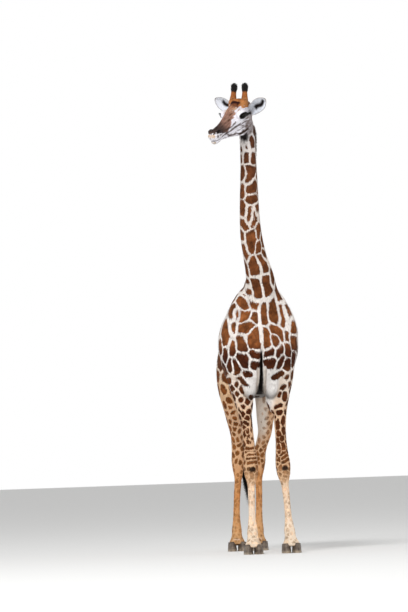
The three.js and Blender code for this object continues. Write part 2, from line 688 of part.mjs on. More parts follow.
add("torso", cut(body, beyondCollar(1)), "coat");
add("neck", cut(join(neck, maneLocks(10)), skullCutter, beyondCollar(-1)), "coat");
add("head", placed(headFlesh()), "coat");
[1, -1].forEach((side) => {
  const hand = side > 0 ? "left" : "right";
  add(`ear_${hand}`, cut(placed(cut(ear(side), hornStem(side, GAP))), skullCutter), "coat");
  add(`ossicone_${hand}`, cut(placed(ossicone(side)), skullCutter), "horn");
  add(`eye_${hand}`, placed(eyeBall(side)), "eye");
});

for (const [name, leg] of Object.entries(LEGS)) {
  const claws = [-1, 1];
  const cutters = claws.map((which) => claw(leg, which, GAP));
  add(name, cut(run(legSections(leg), 12, 1), trunkCutter, cutters), "coat");
  claws.forEach((which) => {
    const [part, hand] = name.split("_");
    const outer = (which > 0) === (hand === "left");
    add(`hoof_${part}_${hand}_${outer ? "outer" : "inner"}`, claw(leg, which), "hoof");
  });
}
add("tail", cut(join(run(DOCK, 10, 1), switchLocks()), trunkCutter), "hair");

// The origin is brought under the middle of the whole animal.
const box = new THREE.Box3().setFromObject(giraffe);
const middle = box.getCenter(v3(0, 0, 0));
giraffe.position.set(-middle.x, -middle.y, -box.min.z);

export default giraffe;
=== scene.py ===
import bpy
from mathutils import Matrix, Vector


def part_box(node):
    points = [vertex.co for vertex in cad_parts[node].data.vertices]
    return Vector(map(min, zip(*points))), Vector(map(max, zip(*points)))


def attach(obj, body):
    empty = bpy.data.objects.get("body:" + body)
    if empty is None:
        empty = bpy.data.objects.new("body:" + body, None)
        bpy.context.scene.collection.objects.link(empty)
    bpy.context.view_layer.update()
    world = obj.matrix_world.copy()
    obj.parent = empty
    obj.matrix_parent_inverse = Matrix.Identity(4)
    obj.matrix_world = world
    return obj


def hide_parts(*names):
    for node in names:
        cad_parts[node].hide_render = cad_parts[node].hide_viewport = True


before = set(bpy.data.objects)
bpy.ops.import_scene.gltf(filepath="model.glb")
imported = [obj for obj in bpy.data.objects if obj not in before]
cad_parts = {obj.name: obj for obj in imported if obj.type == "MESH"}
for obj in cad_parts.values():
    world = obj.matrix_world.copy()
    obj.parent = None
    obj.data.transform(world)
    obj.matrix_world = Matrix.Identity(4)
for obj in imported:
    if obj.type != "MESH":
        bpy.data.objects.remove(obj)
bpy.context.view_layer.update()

import math

import bmesh
import bpy
import numpy as np
from mathutils import Matrix, Vector
from mathutils.bvhtree import BVHTree

# ---- Camera
# The animal is seen from ahead, a little to its right, from low down and far off with a long
# lens. Its own frame has the mid-line at x = 0; home carries that frame to where it stands.
head_place = (
    Matrix.Translation((-0.071, -1.035, 4.070))
    @ Matrix.Rotation(math.radians(-39), 4, "Z")
    @ Matrix.Rotation(math.radians(24.5), 4, "X")
    @ Matrix.Rotation(math.radians(5), 4, "Y")
)
eye_at = Vector((0.111, -0.204, 0.032))
eye_low, eye_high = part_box("eye_left")
home = (Vector(eye_low) + Vector(eye_high)) / 2 - head_place @ eye_at
camera_at = Vector((-2.35377, -30.87752, 0.9))
right, up = Vector((0.997594, -0.059917, -0.034862)), Vector((0.031978, -0.048428, 0.998315))
look = bpy.data.cameras.new("camera")
look.lens, look.sensor_width, look.clip_end = 192.65, 36, 200
camera = bpy.data.objects.new("camera", look)
camera.matrix_world = (
    Matrix.Translation(camera_at + home) @ Matrix((right, up, right.cross(up))).transposed().to_4x4()
)
bpy.context.scene.collection.objects.link(camera)
bpy.context.scene.camera = camera

# ---- Skin: trunk, neck and legs
# The hide of a living body: thin skin drawn over muscle and bone, in one piece from the lips to
# the hooves. Each mass is lofted through its cross-sections, then all are melted into one.


def stations(rows, steps):
    """Rows of x, y, z, half width, up, down, egg, turn, drawn closer along one cubic curve."""
    rows = np.array([list(row) + [0] * (8 - len(row)) for row in rows], float)
    reach = np.r_[0, np.cumsum(np.linalg.norm(np.diff(rows[:, :3], axis=0), axis=1))]
    ends = [(max(0, i - 1), min(len(rows) - 1, i + 1)) for i in range(len(rows))]
    slope = np.array([(rows[b] - rows[a]) / (reach[b] - reach[a]) for a, b in ends])
    out = []
    for i in range(len(rows) - 1):
        span = reach[i + 1] - reach[i]
        for t in np.arange(steps) / steps:
            out.append(
                (2 * t**3 - 3 * t**2 + 1) * rows[i] + (t**3 - 2 * t**2 + t) * span * slope[i]
                + (3 * t**2 - 2 * t**3) * rows[i + 1] + (t**3 - t**2) * span * slope[i + 1]
            )
    return np.array(out + [rows[-1]])


def frames_of(rows):
    """Centre, way along, side and top of each station."""
    centre = rows[:, :3]
    along = np.array([centre[min(i + 1, len(rows) - 1)] - centre[max(i - 1, 0)] for i in range(len(rows))])
    along /= np.linalg.norm(along, axis=1)[:, None]
    turn = np.radians(rows[:, 7])
    side = np.c_[np.cos(turn), np.sin(turn), 0 * turn]
    side -= along * (side * along).sum(1)[:, None]
    side /= np.linalg.norm(side, axis=1)[:, None]
    return centre, along, side, np.cross(along, side)


def loft(bm, rows, sides, steps, coat=5.0):
    """One closed form through the stations, in millimetres, drawn in by the depth of the coat."""
    rows = stations(rows, steps)
    centre, along, side, top = frames_of(rows)
    grid = bmesh.ops.create_grid(bm, x_segments=sides, y_segments=len(rows) - 1, size=1)["verts"]
    angle = 2 * np.pi * np.arange(sides + 1) / sides
    for i, row in enumerate(rows):
        c, s = np.cos(angle), np.sin(angle)
        half, rise, drop, egg = row[3:7]
        across = max(half - coat, 2) * c * (1 - egg * np.maximum(0, s))
        lift = np.where(s > 0, max(rise - coat, 2), max(drop - coat, 2)) * s
        ring = centre[i] + across[:, None] * side[i] + lift[:, None] * top[i]
        for k in range(sides + 1):
            grid[i * (sides + 1) + k].co = ring[k] / 1000
    bmesh.ops.remove_doubles(bm, verts=grid, dist=1e-6)
    ends = [e for e in bm.edges if e.is_boundary]
    bmesh.ops.holes_fill(bm, edges=ends, sides=0)


def bulge(bm, at, radii, turn=(0, 0, 0), coat=5.0, both=False):
    """A muscle or bone as an ellipsoid, turned in degrees, on one flank or on both."""
    for hand in (1, -1) if both else (1,):
        basis = Matrix.Translation((hand * at[0] / 1000, at[1] / 1000, at[2] / 1000))
        for degrees, axis, sense in zip(turn, "XYZ", (1, hand, hand)):
            basis = basis @ Matrix.Rotation(sense * math.radians(degrees), 4, axis)
        size = Matrix.Diagonal([max(r - coat, 3) / 1000 for r in radii] + [1])
        bmesh.ops.create_icosphere(bm, subdivisions=3, radius=1, matrix=basis @ size)


trunk_rows = [
    (0, 788, 1860, 46, 60, 80, 0.1), (0, 745, 1860, 150, 190, 180, 0.3),
    (0, 640, 1860, 222, 312, 245, 0.45), (0, 495, 1860, 297, 382, 245, 0.5),
    (0, 333, 1860, 291, 432, 280, 0.52), (0, 155, 1860, 294, 498, 340, 0.52),
    (0, -32, 1860, 320, 586, 385, 0.52), (0, -200, 1860, 320, 690, 415, 0.54),
    (0, -320, 1860, 301, 782, 420, 0.58), (0, -430, 1870, 288, 820, 415, 0.64),
    (0, -560, 1880, 294, 786, 405, 0.64), (0, -700, 1890, 294, 650, 365, 0.56),
    (0, -820, 1900, 262, 460, 320, 0.45), (0, -915, 1915, 190, 275, 240, 0.35),
    (0, -975, 1920, 96, 130, 130, 0.2), (0, -992, 1920, 34, 46, 46, 0),
]
neck_rows = [
    (10, -520, 2080, 150, 230, 250, 0.3), (26, -610, 2240, 156, 300, 265, 0.45),
    (40, -690, 2400, 160, 312, 225, 0.5), (30, -750, 2560, 138, 272, 174, 0.45, -1),
    (-8, -804, 2720, 117, 206, 140, 0.38, -3), (-40, -852, 2890, 106, 168, 118, 0.3, -5),
    (-54, -894, 3070, 98, 146, 104, 0.25, -8), (-56, -930, 3260, 91, 128, 94, 0.2, -12),
    (-55, -962, 3450, 83, 114, 86, 0.16, -18), (-56, -988, 3630, 76, 103, 82, 0.12, -26),
    (-60, -1008, 3790, 72, 98, 84, 0.1, -33), (-66, -1024, 3930, 66, 90, 80, 0.1, -37),
    (-72, -1040, 4030, 50, 60, 60, 0.1, -39),
]
# A leg's rows: height, place along the body, half width, reach ahead and behind.
fore_rows = [
    (1740, -690, 105, 130, 130), (1600, -652, 98, 120, 138), (1480, -628, 84, 100, 124),
    (1340, -620, 69, 84, 92), (1200, -622, 57, 68, 70), (1050, -628, 53, 54, 55),
    (940, -634, 60, 52, 53), (860, -638, 69, 60, 56), (800, -638, 71, 63, 60),
    (730, -634, 64, 50, 60), (640, -630, 39, 37, 48), (500, -626, 34, 34, 42),
    (360, -624, 34, 34, 42), (260, -624, 44, 40, 54), (208, -630, 53, 47, 62),
    (150, -648, 54, 46, 56), (108, -664, 68, 58, 66), (84, -672, 80, 76, 82), (60, -674, 72, 70, 76),
]
hind_rows = [
    (1760, 505, 120, 205, 205), (1620, 465, 128, 215, 205), (1500, 445, 122, 185, 180),
    (1380, 460, 101, 142, 142), (1260, 505, 84, 104, 108), (1130, 561, 68, 78, 80),
    (1010, 605, 59, 61, 68), (930, 627, 62, 60, 76), (870, 635, 64, 61, 80),
    (790, 631, 57, 55, 64), (690, 617, 38, 42, 48), (540, 601, 34, 36, 43),
    (370, 587, 34, 35, 43), (260, 579, 42, 40, 54), (206, 571, 50, 46, 60),
    (150, 549, 52, 46, 56), (108, 531, 66, 58, 66), (84, 521, 78, 76, 82), (60, 517, 70, 70, 76),
]
# How far out each leg stands, at the heights of leg_x.
stance = {
    "foreleg_right": (fore_rows, (-222, -143, -122, -109, -106, -110, -112)),
    "foreleg_left": (fore_rows, (228, 180, 180, 186, 197, 219, 240)),
    "hindleg_right": (hind_rows, (-206, -164, -139, -134, -136, -165, -178)),
    "hindleg_left": (hind_rows, (178, 134, 129, 76, 59, 54, 30)),
}
dock_rows = [
    (0, 690, 2050, 60, 52, 50), (-2, 766, 2014, 48, 42, 42), (-6, 820, 1930, 36, 31, 33),
    (-14, 847, 1800, 27, 24, 24), (-28, 856, 1620, 21, 19, 19), (-46, 856, 1430, 17, 15, 15),
    (-60, 852, 1260, 14, 13, 13), (-70, 846, 1120, 11, 10, 10), (-72, 843, 980, 5, 5, 5),
]


def leg_x(name, z):
    """How far out a leg stands at a height, in millimetres."""
    return np.interp(z, (60, 460, 720, 930, 1130, 1300, 1740), stance[name][1][::-1])


body = bmesh.new()
loft(body, trunk_rows, 44, 3)
loft(body, neck_rows, 36, 3)
loft(body, dock_rows, 20, 3, coat=2)
for name, (rows, _) in stance.items():
    loft(body, [(leg_x(name, z), y, z, half, front, back) for z, y, half, front, back in rows], 24, 3, coat=3)
bulge(body, (226, -640, 1980), (150, 190, 300), (-12, -8, 0), both=True)  # shoulder blade
bulge(body, (226, -650, 2228), (92, 180, 310), (-10, -25, 0))  # muscle to the neck
bulge(body, (-196, -650, 2218), (88, 180, 305), (-10, 25, 0))
bulge(body, (204, -735, 1790), (126, 150, 220), (14, 0, 0), both=True)  # point of the shoulder
bulge(body, (185, 500, 1710), (138, 232, 345), (10, 3, 0), both=True)  # rump and thigh
bulge(body, (0, -800, 1850), (200, 152, 200), (12, 0, 0))  # breast
bulge(body, (110, -728, 1655), (97, 148, 252), (17, 3, 0), both=True)  # breast muscle over the upper arm
bulge(body, (-118, -645, 1480), (62, 90, 240), (0, 0, 0))  # inner side of each upper arm
bulge(body, (130, -645, 1480), (84, 90, 200), (0, 0, 0))


def as_mesh(bm, name):
    """Turns a finished bmesh into a smoothly shaded mesh."""
    mesh = bpy.data.meshes.new(name)
    bm.to_mesh(mesh)
    bm.free()
    mesh.shade_smooth()
    return mesh


def modified(mesh, kind, **settings):
    """The mesh that a modifier makes of another, which it takes the place of."""
    name = mesh.name
    holder = bpy.data.objects.new(name, mesh)
    bpy.context.scene.collection.objects.link(holder)
    tool = holder.modifiers.new(kind, kind)
    for key, value in settings.items():
        setattr(tool, key, value)
    made = bpy.data.meshes.new_from_object(holder.evaluated_get(bpy.context.evaluated_depsgraph_get()))
    bpy.data.objects.remove(holder)
    bpy.data.meshes.remove(mesh)
    made.name = name
    return made


def melted(bm, grain):
    """The overlapping forms as one closed surface, cut to a grain in metres."""
    bmesh.ops.recalc_face_normals(bm, faces=bm.faces)
    made = bmesh.new()
    made.from_mesh(modified(as_mesh(bm, "masses"), "REMESH", mode="VOXEL", voxel_size=grain))
    return made


def arrays_of(bm):
    """Vertex places and edge ends of a bmesh as arrays."""
    bm.verts.index_update()
    place = np.array([v.co[:] for v in bm.verts])
    edge = np.array([(e.verts[0].index, e.verts[1].index) for e in bm.edges])
    return place, edge


def set_down(bm, place):
    """Puts the vertices of a bmesh in new places."""
    for v, co in zip(bm.verts, place):
        v.co = co


def mean_beside(place, edge):
    """The mean place of each vertex's neighbours."""
    count = np.maximum(np.bincount(edge.ravel(), minlength=len(place)), 1)[:, None]
    total = np.stack([
        np.bincount(edge[:, 0], place[edge[:, 1], k], len(place))
        + np.bincount(edge[:, 1], place[edge[:, 0], k], len(place)) for k in range(3)
    ], 1)
    return total / count


def relaxed(place, edge, turns, hold=1.0):
    """Evens out a surface without thinning it: one step in, one step out."""
    for turn in range(2 * turns):
        step = (0.5 if turn % 2 == 0 else -0.52) * (mean_beside(place, edge) - place)
        place = place + step * hold
    return place


# ---- Skin: head
# Skin stretched thin over the skull, with soft lips, wide nostril wings and heavy lids. The skull
# is drawn in its own frame, the joint with the neck at the origin and the muzzle towards -Y.
skull_rows = [
    (0, 20, -14, 26, 24, 26, 0), (0, 0, -14, 66, 74, 92, 0.15), (0, -45, -16, 86, 124, 138, 0.3),
    (0, -100, -16, 94, 154, 162, 0.36), (0, -158, -8, 99, 150, 168, 0.3), (0, -212, -2, 97, 127, 164, 0.24),
    (0, -270, -4, 84, 104, 150, 0.28), (0, -330, -10, 69, 88, 129, 0.34), (0, -396, -17, 58, 74, 107, 0.36),
    (0, -460, -22, 51, 63, 88, 0.3), (0, -516, -24, 52, 58, 75, 0.2), (0, -562, -26, 54, 50, 64, 0.1),
    (0, -598, -30, 48, 38, 53, 0), (0, -620, -36, 28, 20, 32, 0),
]
skull = bmesh.new()
loft(skull, skull_rows, 40, 4, coat=2)
bulge(skull, (84, -208, 40), (38, 66, 40), (0, 0, -12), 2, True)  # orbit
bulge(skull, (60, -124, -76), (38, 92, 80), (-8, 0, -4), 2, True)  # jaw muscle
bulge(skull, (60, -88, 92), (42, 50, 66), (-24, 2, 0), 2, True)  # foot of each ossicone
bulge(skull, (0, -98, 106), (68, 76, 44), (0, 0, 0), 2)  # crown between them
bulge(skull, (58, -48, 60), (36, 56, 50), (0, 0, 0), 2, True)  # temple
bulge(skull, (54, -190, -94), (33, 112, 74), (-6, 0, -4), 2, True)  # edge of the jaw
bulge(skull, (37, -548, 0), (24, 48, 26), (-10, 0, -10), 2, True)  # nostril wing
bulge(skull, (0, -584, -34), (48, 44, 35), (-8, 0, 0), 2)  # upper lip
bulge(skull, (0, -548, -82), (39, 66, 25), (4, 0, 0), 2)  # lower lip and chin
bmesh.ops.transform(skull, matrix=head_place, verts=skull.verts)
loft(skull, neck_rows[8:], 36, 4)
hide = melted(body, 0.0115)
place, edge = arrays_of(hide)
# The creases between the trunk's masses melt into one another; the tail stays thin.
soft = np.clip((place[:, 2] - 1.62) / 0.2, 0, 1) * np.clip((2.9 - place[:, 2]) / 0.3, 0, 1)
soft *= np.clip((0.80 - place[:, 1]) / 0.1, 0, 1)
for _ in range(55):
    place = place + 0.5 * soft[:, None] * (mean_beside(place, edge) - place)
place = relaxed(place, edge, 10)
# The cleft between the breast muscles, which opens into the gap between the forelegs.
cleft = np.exp(-((place[:, 0] / 0.016) ** 2)) * np.clip((place[:, 2] - 1.38) / 0.08, 0, 1)
cleft *= np.clip((1.86 - place[:, 2]) / 0.14, 0, 1) * np.clip((-0.66 - place[:, 1]) / 0.12, 0, 1)
place[:, 1] += 0.085 * cleft
set_down(hide, place)
thin_hide = modified(as_mesh(hide, "hide"), "DECIMATE", ratio=0.40)
hide = bmesh.new()
hide.from_mesh(thin_hide)
face = melted(skull, 0.0050)
place, edge = arrays_of(face)
set_down(face, relaxed(place, edge, 12))
# The neck is cut below the jaw's angle, on a plane that falls towards the chin, and the two skins
# are bridged over a gap of a centimetre.
throat = Vector((-0.063, -1.016, 3.860))
neck_way = Vector((-0.22, -0.27, 1)).normalized()
for bm, gap, keep in ((hide, -0.005, 1), (face, 0.005, -1)):
    bmesh.ops.bisect_plane(
        bm, geom=bm.verts[:] + bm.edges[:] + bm.faces[:], dist=1e-5,
        plane_co=throat + neck_way * gap, plane_no=neck_way * keep, clear_outer=True,
    )
hide.from_mesh(as_mesh(face, "face"))
bmesh.ops.bridge_loops(hide, edges=[e for e in hide.edges if e.is_boundary])
place, edge = arrays_of(hide)
level = (place - np.array(throat)) @ np.array(neck_way)
set_down(hide, relaxed(place, edge, 6, hold=np.clip(1.5 - np.abs(level) / 0.03, 0, 1)[:, None]))
head_turn = np.array(head_place)[:3, :3]


def in_head(points):
    """Places in the head's own frame, in millimetres."""
    back = np.array(head_place.inverted())
    return (np.asarray(points) @ back[:3, :3].T + back[:3, 3]) * 1000


def out_of_head(points):
    """Places in the animal's frame, in metres, from places in the head's."""
    return (points / 1000) @ head_turn.T + np.array(head_place)[:3, 3]


def middles_of(bm):
    """The middle of each face."""
    return np.array([f.calc_center_median() for f in bm.faces])


def halved(bm, fine):
    """Cuts the edges of the chosen faces in two."""
    chosen = dict.fromkeys(e for f, use in zip(bm.faces[:], fine) if use for e in f.edges)
    bmesh.ops.subdivide_edges(bm, edges=list(chosen), cuts=1, use_grid_fill=True)
    bmesh.ops.triangulate(bm, faces=[f for f in bm.faces if len(f.verts) > 4])


# The grain is halved round the eyes and over the muzzle, where lids and lips are formed, on the
# knees, and twice over along the cleft of the chest.
spots = in_head(middles_of(hide))
fine = (spots[:, 1] < -478) & (spots[:, 1] > -700)
for hand in (1, -1):
    fine |= np.linalg.norm(spots - (hand * 114, -204, 32), axis=1) < 52
x, y, z = middles_of(hide).T
fine |= (y < -0.5) & (z > 0.69) & (z < 1.0)
fine |= (np.abs(x) < 0.055) & (y < -0.5) & (z > 1.36) & (z < 1.92)
halved(hide, fine)
x, y, z = middles_of(hide).T
halved(hide, (np.abs(x) < 0.045) & (y < -0.5) & (z > 1.38) & (z < 1.90))
place, edge = arrays_of(hide)
hide.normal_update()
normal = np.array([v.normal[:] for v in hide.verts])
spots = in_head(place)
turned = normal @ head_turn  # the normals in the head's frame
shape = spots.copy()


def fade(value, low, high):
    """0 below low, 1 above high, smooth between."""
    t = np.clip((value - low) / (high - low), 0, 1)
    return t * t * (3 - 2 * t)


def unit(vectors):
    """The same directions, one long."""
    return vectors / np.maximum(np.linalg.norm(vectors, axis=-1, keepdims=True), 1e-9)


def eye_axes(hand):
    """The ways ahead, up and out of an eye, in the head's frame."""
    out = np.array((hand * 0.93, -0.34, 0.08))
    out /= np.linalg.norm(out)
    ahead = np.array((0, -1, 0)) + out * out[1]
    ahead /= np.linalg.norm(ahead)
    high = np.cross(out, ahead)
    return ahead, high * np.sign(high[2]), out


# The lids leave a slit with pointed corners over the globe, its front end the lower.
eye_ball, slit_half, slit_up, slit_down, slit_power, slit_tilt = 26.0, 26, 13.5, 11.0, 1.55, 0.10
for hand in (1, -1):
    ahead, high, out = eye_axes(hand)
    rel = shape - np.array((hand * eye_at.x, eye_at.y, eye_at.z)) * 1000
    a, b, c = rel @ ahead, rel @ high, rel @ out
    near = (np.linalg.norm(rel, axis=1) < 75) & (c > -25)
    a = a + slit_tilt * b
    tall = np.where(b > 0, slit_up, slit_down)
    s = ((np.abs(a) / slit_half) ** slit_power + (np.abs(b) / tall) ** slit_power) ** (1 / slit_power)
    ball = np.sqrt(np.maximum(eye_ball**2 - a**2 - b**2, 30))
    lid = ball + np.where(b > 0, 5.5, 4.0) - 2.2 * np.exp(-(((s - 1.62) / 0.14) ** 2)) * (b > 0)
    goal = np.where(s < 1, ball - 8, lid)
    weight = np.where(s < 1, 1, 1 - fade(s, 1.55, 2.5))
    goal = np.maximum(goal, np.where(s < 1, -99, c - 2))
    shape[near] += (out * ((goal - c) * weight)[:, None])[near]

# Brow and cheek: a ridge over the eye, a crest below it running to the muzzle, a hollow between.
# Each has its place, radius, how far it stands out, and how much longer it is in x, y and z.
reliefs = (
    ((98, -216, 66), 22, 5, (1, 1.9, 0.8)),  # brow ridge
    ((84, -300, 8), 20, 4, (1, 3.2, 0.7)),  # cheek crest
    ((64, -420, 18), 24, -3, (1, 2.6, 0.9)),  # hollow along the nose
    ((70, -330, -60), 26, -4, (1, 2.2, 0.8)),  # hollow of the cheek
    ((82, -170, -120), 24, 4, (1, 1.6, 0.8)),  # angle of the jaw
    ((50, -556, -30), 20, 3, (1, 1.8, 1)),  # lip pad
)
for hand in (1, -1):
    for at, radius, amount, stretch in reliefs:
        gap = (shape - np.array(at) * (hand, 1, 1)) / np.array(stretch)
        falloff = np.exp(-((np.linalg.norm(gap, axis=1) / radius) ** 2))
        shape += turned * (amount * falloff)[:, None]
    # The nostril: a long comma with a raised wing, its front end lowest.
    rel = shape - np.array((hand * 45, -566, 10))
    run = rel @ np.array((0, -0.86, -0.5))
    rise = rel @ np.array((hand * -0.2, -0.5, 0.84))
    rise = rise - 0.012 * run**2 + 2
    s = np.hypot(run / 21, rise / 5.5)
    inside = (hand * shape[:, 0] > 8) & (np.linalg.norm(rel, axis=1) < 45)
    dent = -9 * (1 - fade(s, 0.55, 1.15)) + 2.6 * np.exp(-(((s - 1.5) / 0.35) ** 2))
    shape += turned * np.where(inside, dent, 0)[:, None]


def mouth_at(ahead):
    """How high the line of the mouth runs, which falls towards the chin."""
    return np.interp(ahead, (400, 462, 532, 592, 640), (-44, -58, -67, -68, -64))


# The mouth, with full lips on both sides of its line.
muzzle = fade(-shape[:, 1], 398, 440) * (shape[:, 1] > -700)
gap = shape[:, 2] - mouth_at(-shape[:, 1])
dent = -6.5 * np.exp(-((gap / 3.0) ** 2)) + 2.2 * np.exp(-(((gap - 9) / 6) ** 2))
dent = dent + 2.6 * np.exp(-(((gap + 10) / 7) ** 2))
below = (turned[:, 2] > -0.75) & (turned[:, 2] < 0.8)
shape += turned * (dent * muzzle * below)[:, None]
moved = np.linalg.norm(shape - spots, axis=1) > 1e-6
place[moved] = out_of_head(shape[moved])
# Loose skin lies in folds across the front of the forelegs, just above the knees.
folds = sum(np.exp(-(((place[:, 2] - z) / 0.007) ** 2)) for z in (0.847, 0.883, 0.915, 0.945, 0.971))
folds *= (place[:, 1] < -0.5) * fade(-normal[:, 1], 0.1, 0.5)
place -= normal * (0.003 * folds)[:, None]
set_down(hide, place)

# ---- Markings
# The coat's pattern: brown patches parted by pale lines, large on neck and trunk and breaking up
# into small spots down the legs. The patches that face the front are laid one by one, as
# across height across height radius in millimetres, with & where one adds to the last; the
# others are scattered by the size that each region has.
laid = """
-41 3711 -43 3655 21, 16 3714 10 3649 11, -91 3694 -89 3647 7, 21 3849 9 3770 10, -34 3771 -34 3771 11,
-87 3763 -85 3740 6, -31 3586 -17 3556 18, -6 3523 -39 3468 18 &, 16 3564 9 3523 9 &,
-82 3577 -85 3497 13, -26 3384 7 3396 27, 24 3438 18 3410 9 &, -83 3413 -91 3325 14, 55 3400 52 3307 7,
-39 3284 7 3293 23, -94 3246 -87 3162 18, -27 3183 -33 3100 22, 11 3168 -7 3061 13, 36 3223 33 3167 6,
62 3232 58 3073 7, -96 3078 -81 3033 20, -110 2985 -105 2929 13, -48 2960 -32 2820 18,
-3 2959 -26 2834 18 &, 47 3018 38 2948 8, 38 2860 34 2818 17, 73 2943 83 2858 7, -99 2841 -74 2752 16,
-94 2701 -73 2603 13, -18 2705 -5 2610 31, 22 2660 13 2618 20 &, 53 2740 90 2635 17, 114 2792 133 2699 8,
86 2798 93 2770 7, -2 2521 29 2390 28, 99 2537 107 2495 21, 118 2452 113 2392 26 &, -78 2528 -65 2486 13,
-70 2458 -58 2416 16, 159 2595 163 2511 11, 190 2464 210 2347 14, -125 2353 -103 2292 22,
-60 2357 -2 2275 14, 24 2325 4 2270 11 &, 66 2301 59 2147 18, 151 2330 163 2177 32, 235 2286 249 2192 15,
254 2174 253 2113 20 &, 271 2280 301 2177 14, 328 2125 333 2046 18, 291 2112 293 2084 7,
280 2033 275 1973 15, 327 1985 337 1897 24, 375 2077 369 1919 8, -132 2223 -91 2226 21,
-142 2196 -150 2172 14 &, -11 2215 2 2159 17, -146 2094 -100 2087 28, -59 2114 -59 2113 20 &,
-184 2234 -178 2192 12, -227 2282 -234 2185 16, -218 2147 -215 2077 12, -291 2135 -301 1964 28,
-265 2255 -291 2196 10, 0 2052 -1 1926 31, -64 1984 -58 1942 26 &, 72 2054 79 1928 27,
147 2066 203 2054 24, 221 2026 228 1989 14 &, 158 1986 175 1946 24, -166 2001 -156 1917 24,
-119 1958 -115 1911 20 &, -50 1844 13 1840 28, 55 1840 127 1856 22, -163 1820 -124 1762 26,
-111 1816 -111 1814 17 &, -46 1752 6 1749 22, 68 1775 133 1774 24, 219 1892 190 1841 22,
231 1799 199 1744 18, 267 1777 260 1718 20, 278 1922 279 1847 17, 331 1846 323 1762 10,
-231 1953 -241 1868 18, -302 1889 -299 1820 15, -344 1964 -343 1896 11, -264 1795 -256 1726 13,
-226 1781 -197 1696 18, -124 1666 -87 1661 20, 147 1633 202 1657 25, 262 1627 262 1625 17,
212 1525 231 1543 13, 232 1468 236 1426 16, 195 1479 181 1456 8, 149 1345 191 1366 12,
163 1298 185 1303 18, 156 1225 154 1165 11, 217 1246 211 1200 11, 165 1109 165 1105 16,
157 1044 157 1040 12, 213 1144 210 1117 9, -205 1570 -205 1567 18, -171 1552 -157 1504 15,
-214 1487 -212 1483 18, -177 1427 -173 1423 19, -118 1410 -118 1406 18, -75 1460 -72 1438 10,
-162 1365 -161 1363 18, -99 1315 -97 1313 18, -163 1296 -163 1294 15, -120 1258 -118 1256 15,
-140 1218 -125 1202 9, -151 1175 -150 1175 11, -128 1138 -126 1137 17, -119 1082 -117 1082 13,
-113 1041 -112 1040 14, -74 1177 -73 1173 9, -74 1247 -72 1228 8, -140 971 -78 971 6, -146 945 -64 945 4,
-130 915 -60 920 6, -136 882 -58 884 7, -124 846 -50 850 7, -100 752 -92 704 5, 158 985 160 975 12,
160 930 166 920 9, 205 1000 208 960 8, 215 935 175 905 6, 236 905 190 868 6, 244 868 196 842 6,
158 872 160 850 7, 168 800 172 770 7, 205 745 235 735 9, 200 715 225 708 6"""
surface = BVHTree.FromBMesh(hide)
draw = np.random.default_rng(7)
starts, stops, radii, patch_of, reach_of = [], [], [], [], []
for item in laid.replace("\n", " ").split(","):
    words = item.split()
    spots_hit = []
    for across, tall in (words[0:2], words[2:4]):
        way = Vector((float(across) / 1000, -0.6, float(tall) / 1000)) - camera_at
        spots_hit.append(surface.ray_cast(camera_at, way)[0])
    if None in spots_hit:
        continue
    joined = words[-1] == "&"
    patch_of.append(patch_of[-1] if joined else (patch_of[-1] + 1 if patch_of else 0))
    starts.append(spots_hit[0])
    stops.append(spots_hit[1])
    radii.append(float(words[4]) / 1000)
    reach_of.append(0.019 if spots_hit[0].z < 1.6 else 0.022 if spots_hit[0].z < 1.7 else 0.05)


def leg_share(points):
    """For each leg, how far points are from its middle line, in its own half widths."""
    x, y, z = points.T * 1000
    shares = []
    for name, (rows, _) in stance.items():
        table = np.array(rows)[::-1]
        middle, half, front, back = (np.interp(z, table[:, 0], table[:, k]) for k in (1, 2, 3, 4))
        dy = y - middle
        shares.append(np.hypot((x - leg_x(name, z)) / half, dy / np.where(dy < 0, front, back)))
    return np.array(shares)


place, edge = arrays_of(hide)
hide.normal_update()
normal = np.array([v.normal[:] for v in hide.verts])
height = place[:, 2]
share = leg_share(place)
fore = (1 - fade(share[:2].min(0), 1.15, 1.8)) * (1 - fade(height, 1.62, 1.78)) * (place[:, 1] < -0.1)
hind = (1 - fade(share[2:].min(0), 1.15, 1.7)) * (1 - fade(height, 1.55, 1.85)) * (place[:, 1] > -0.1)
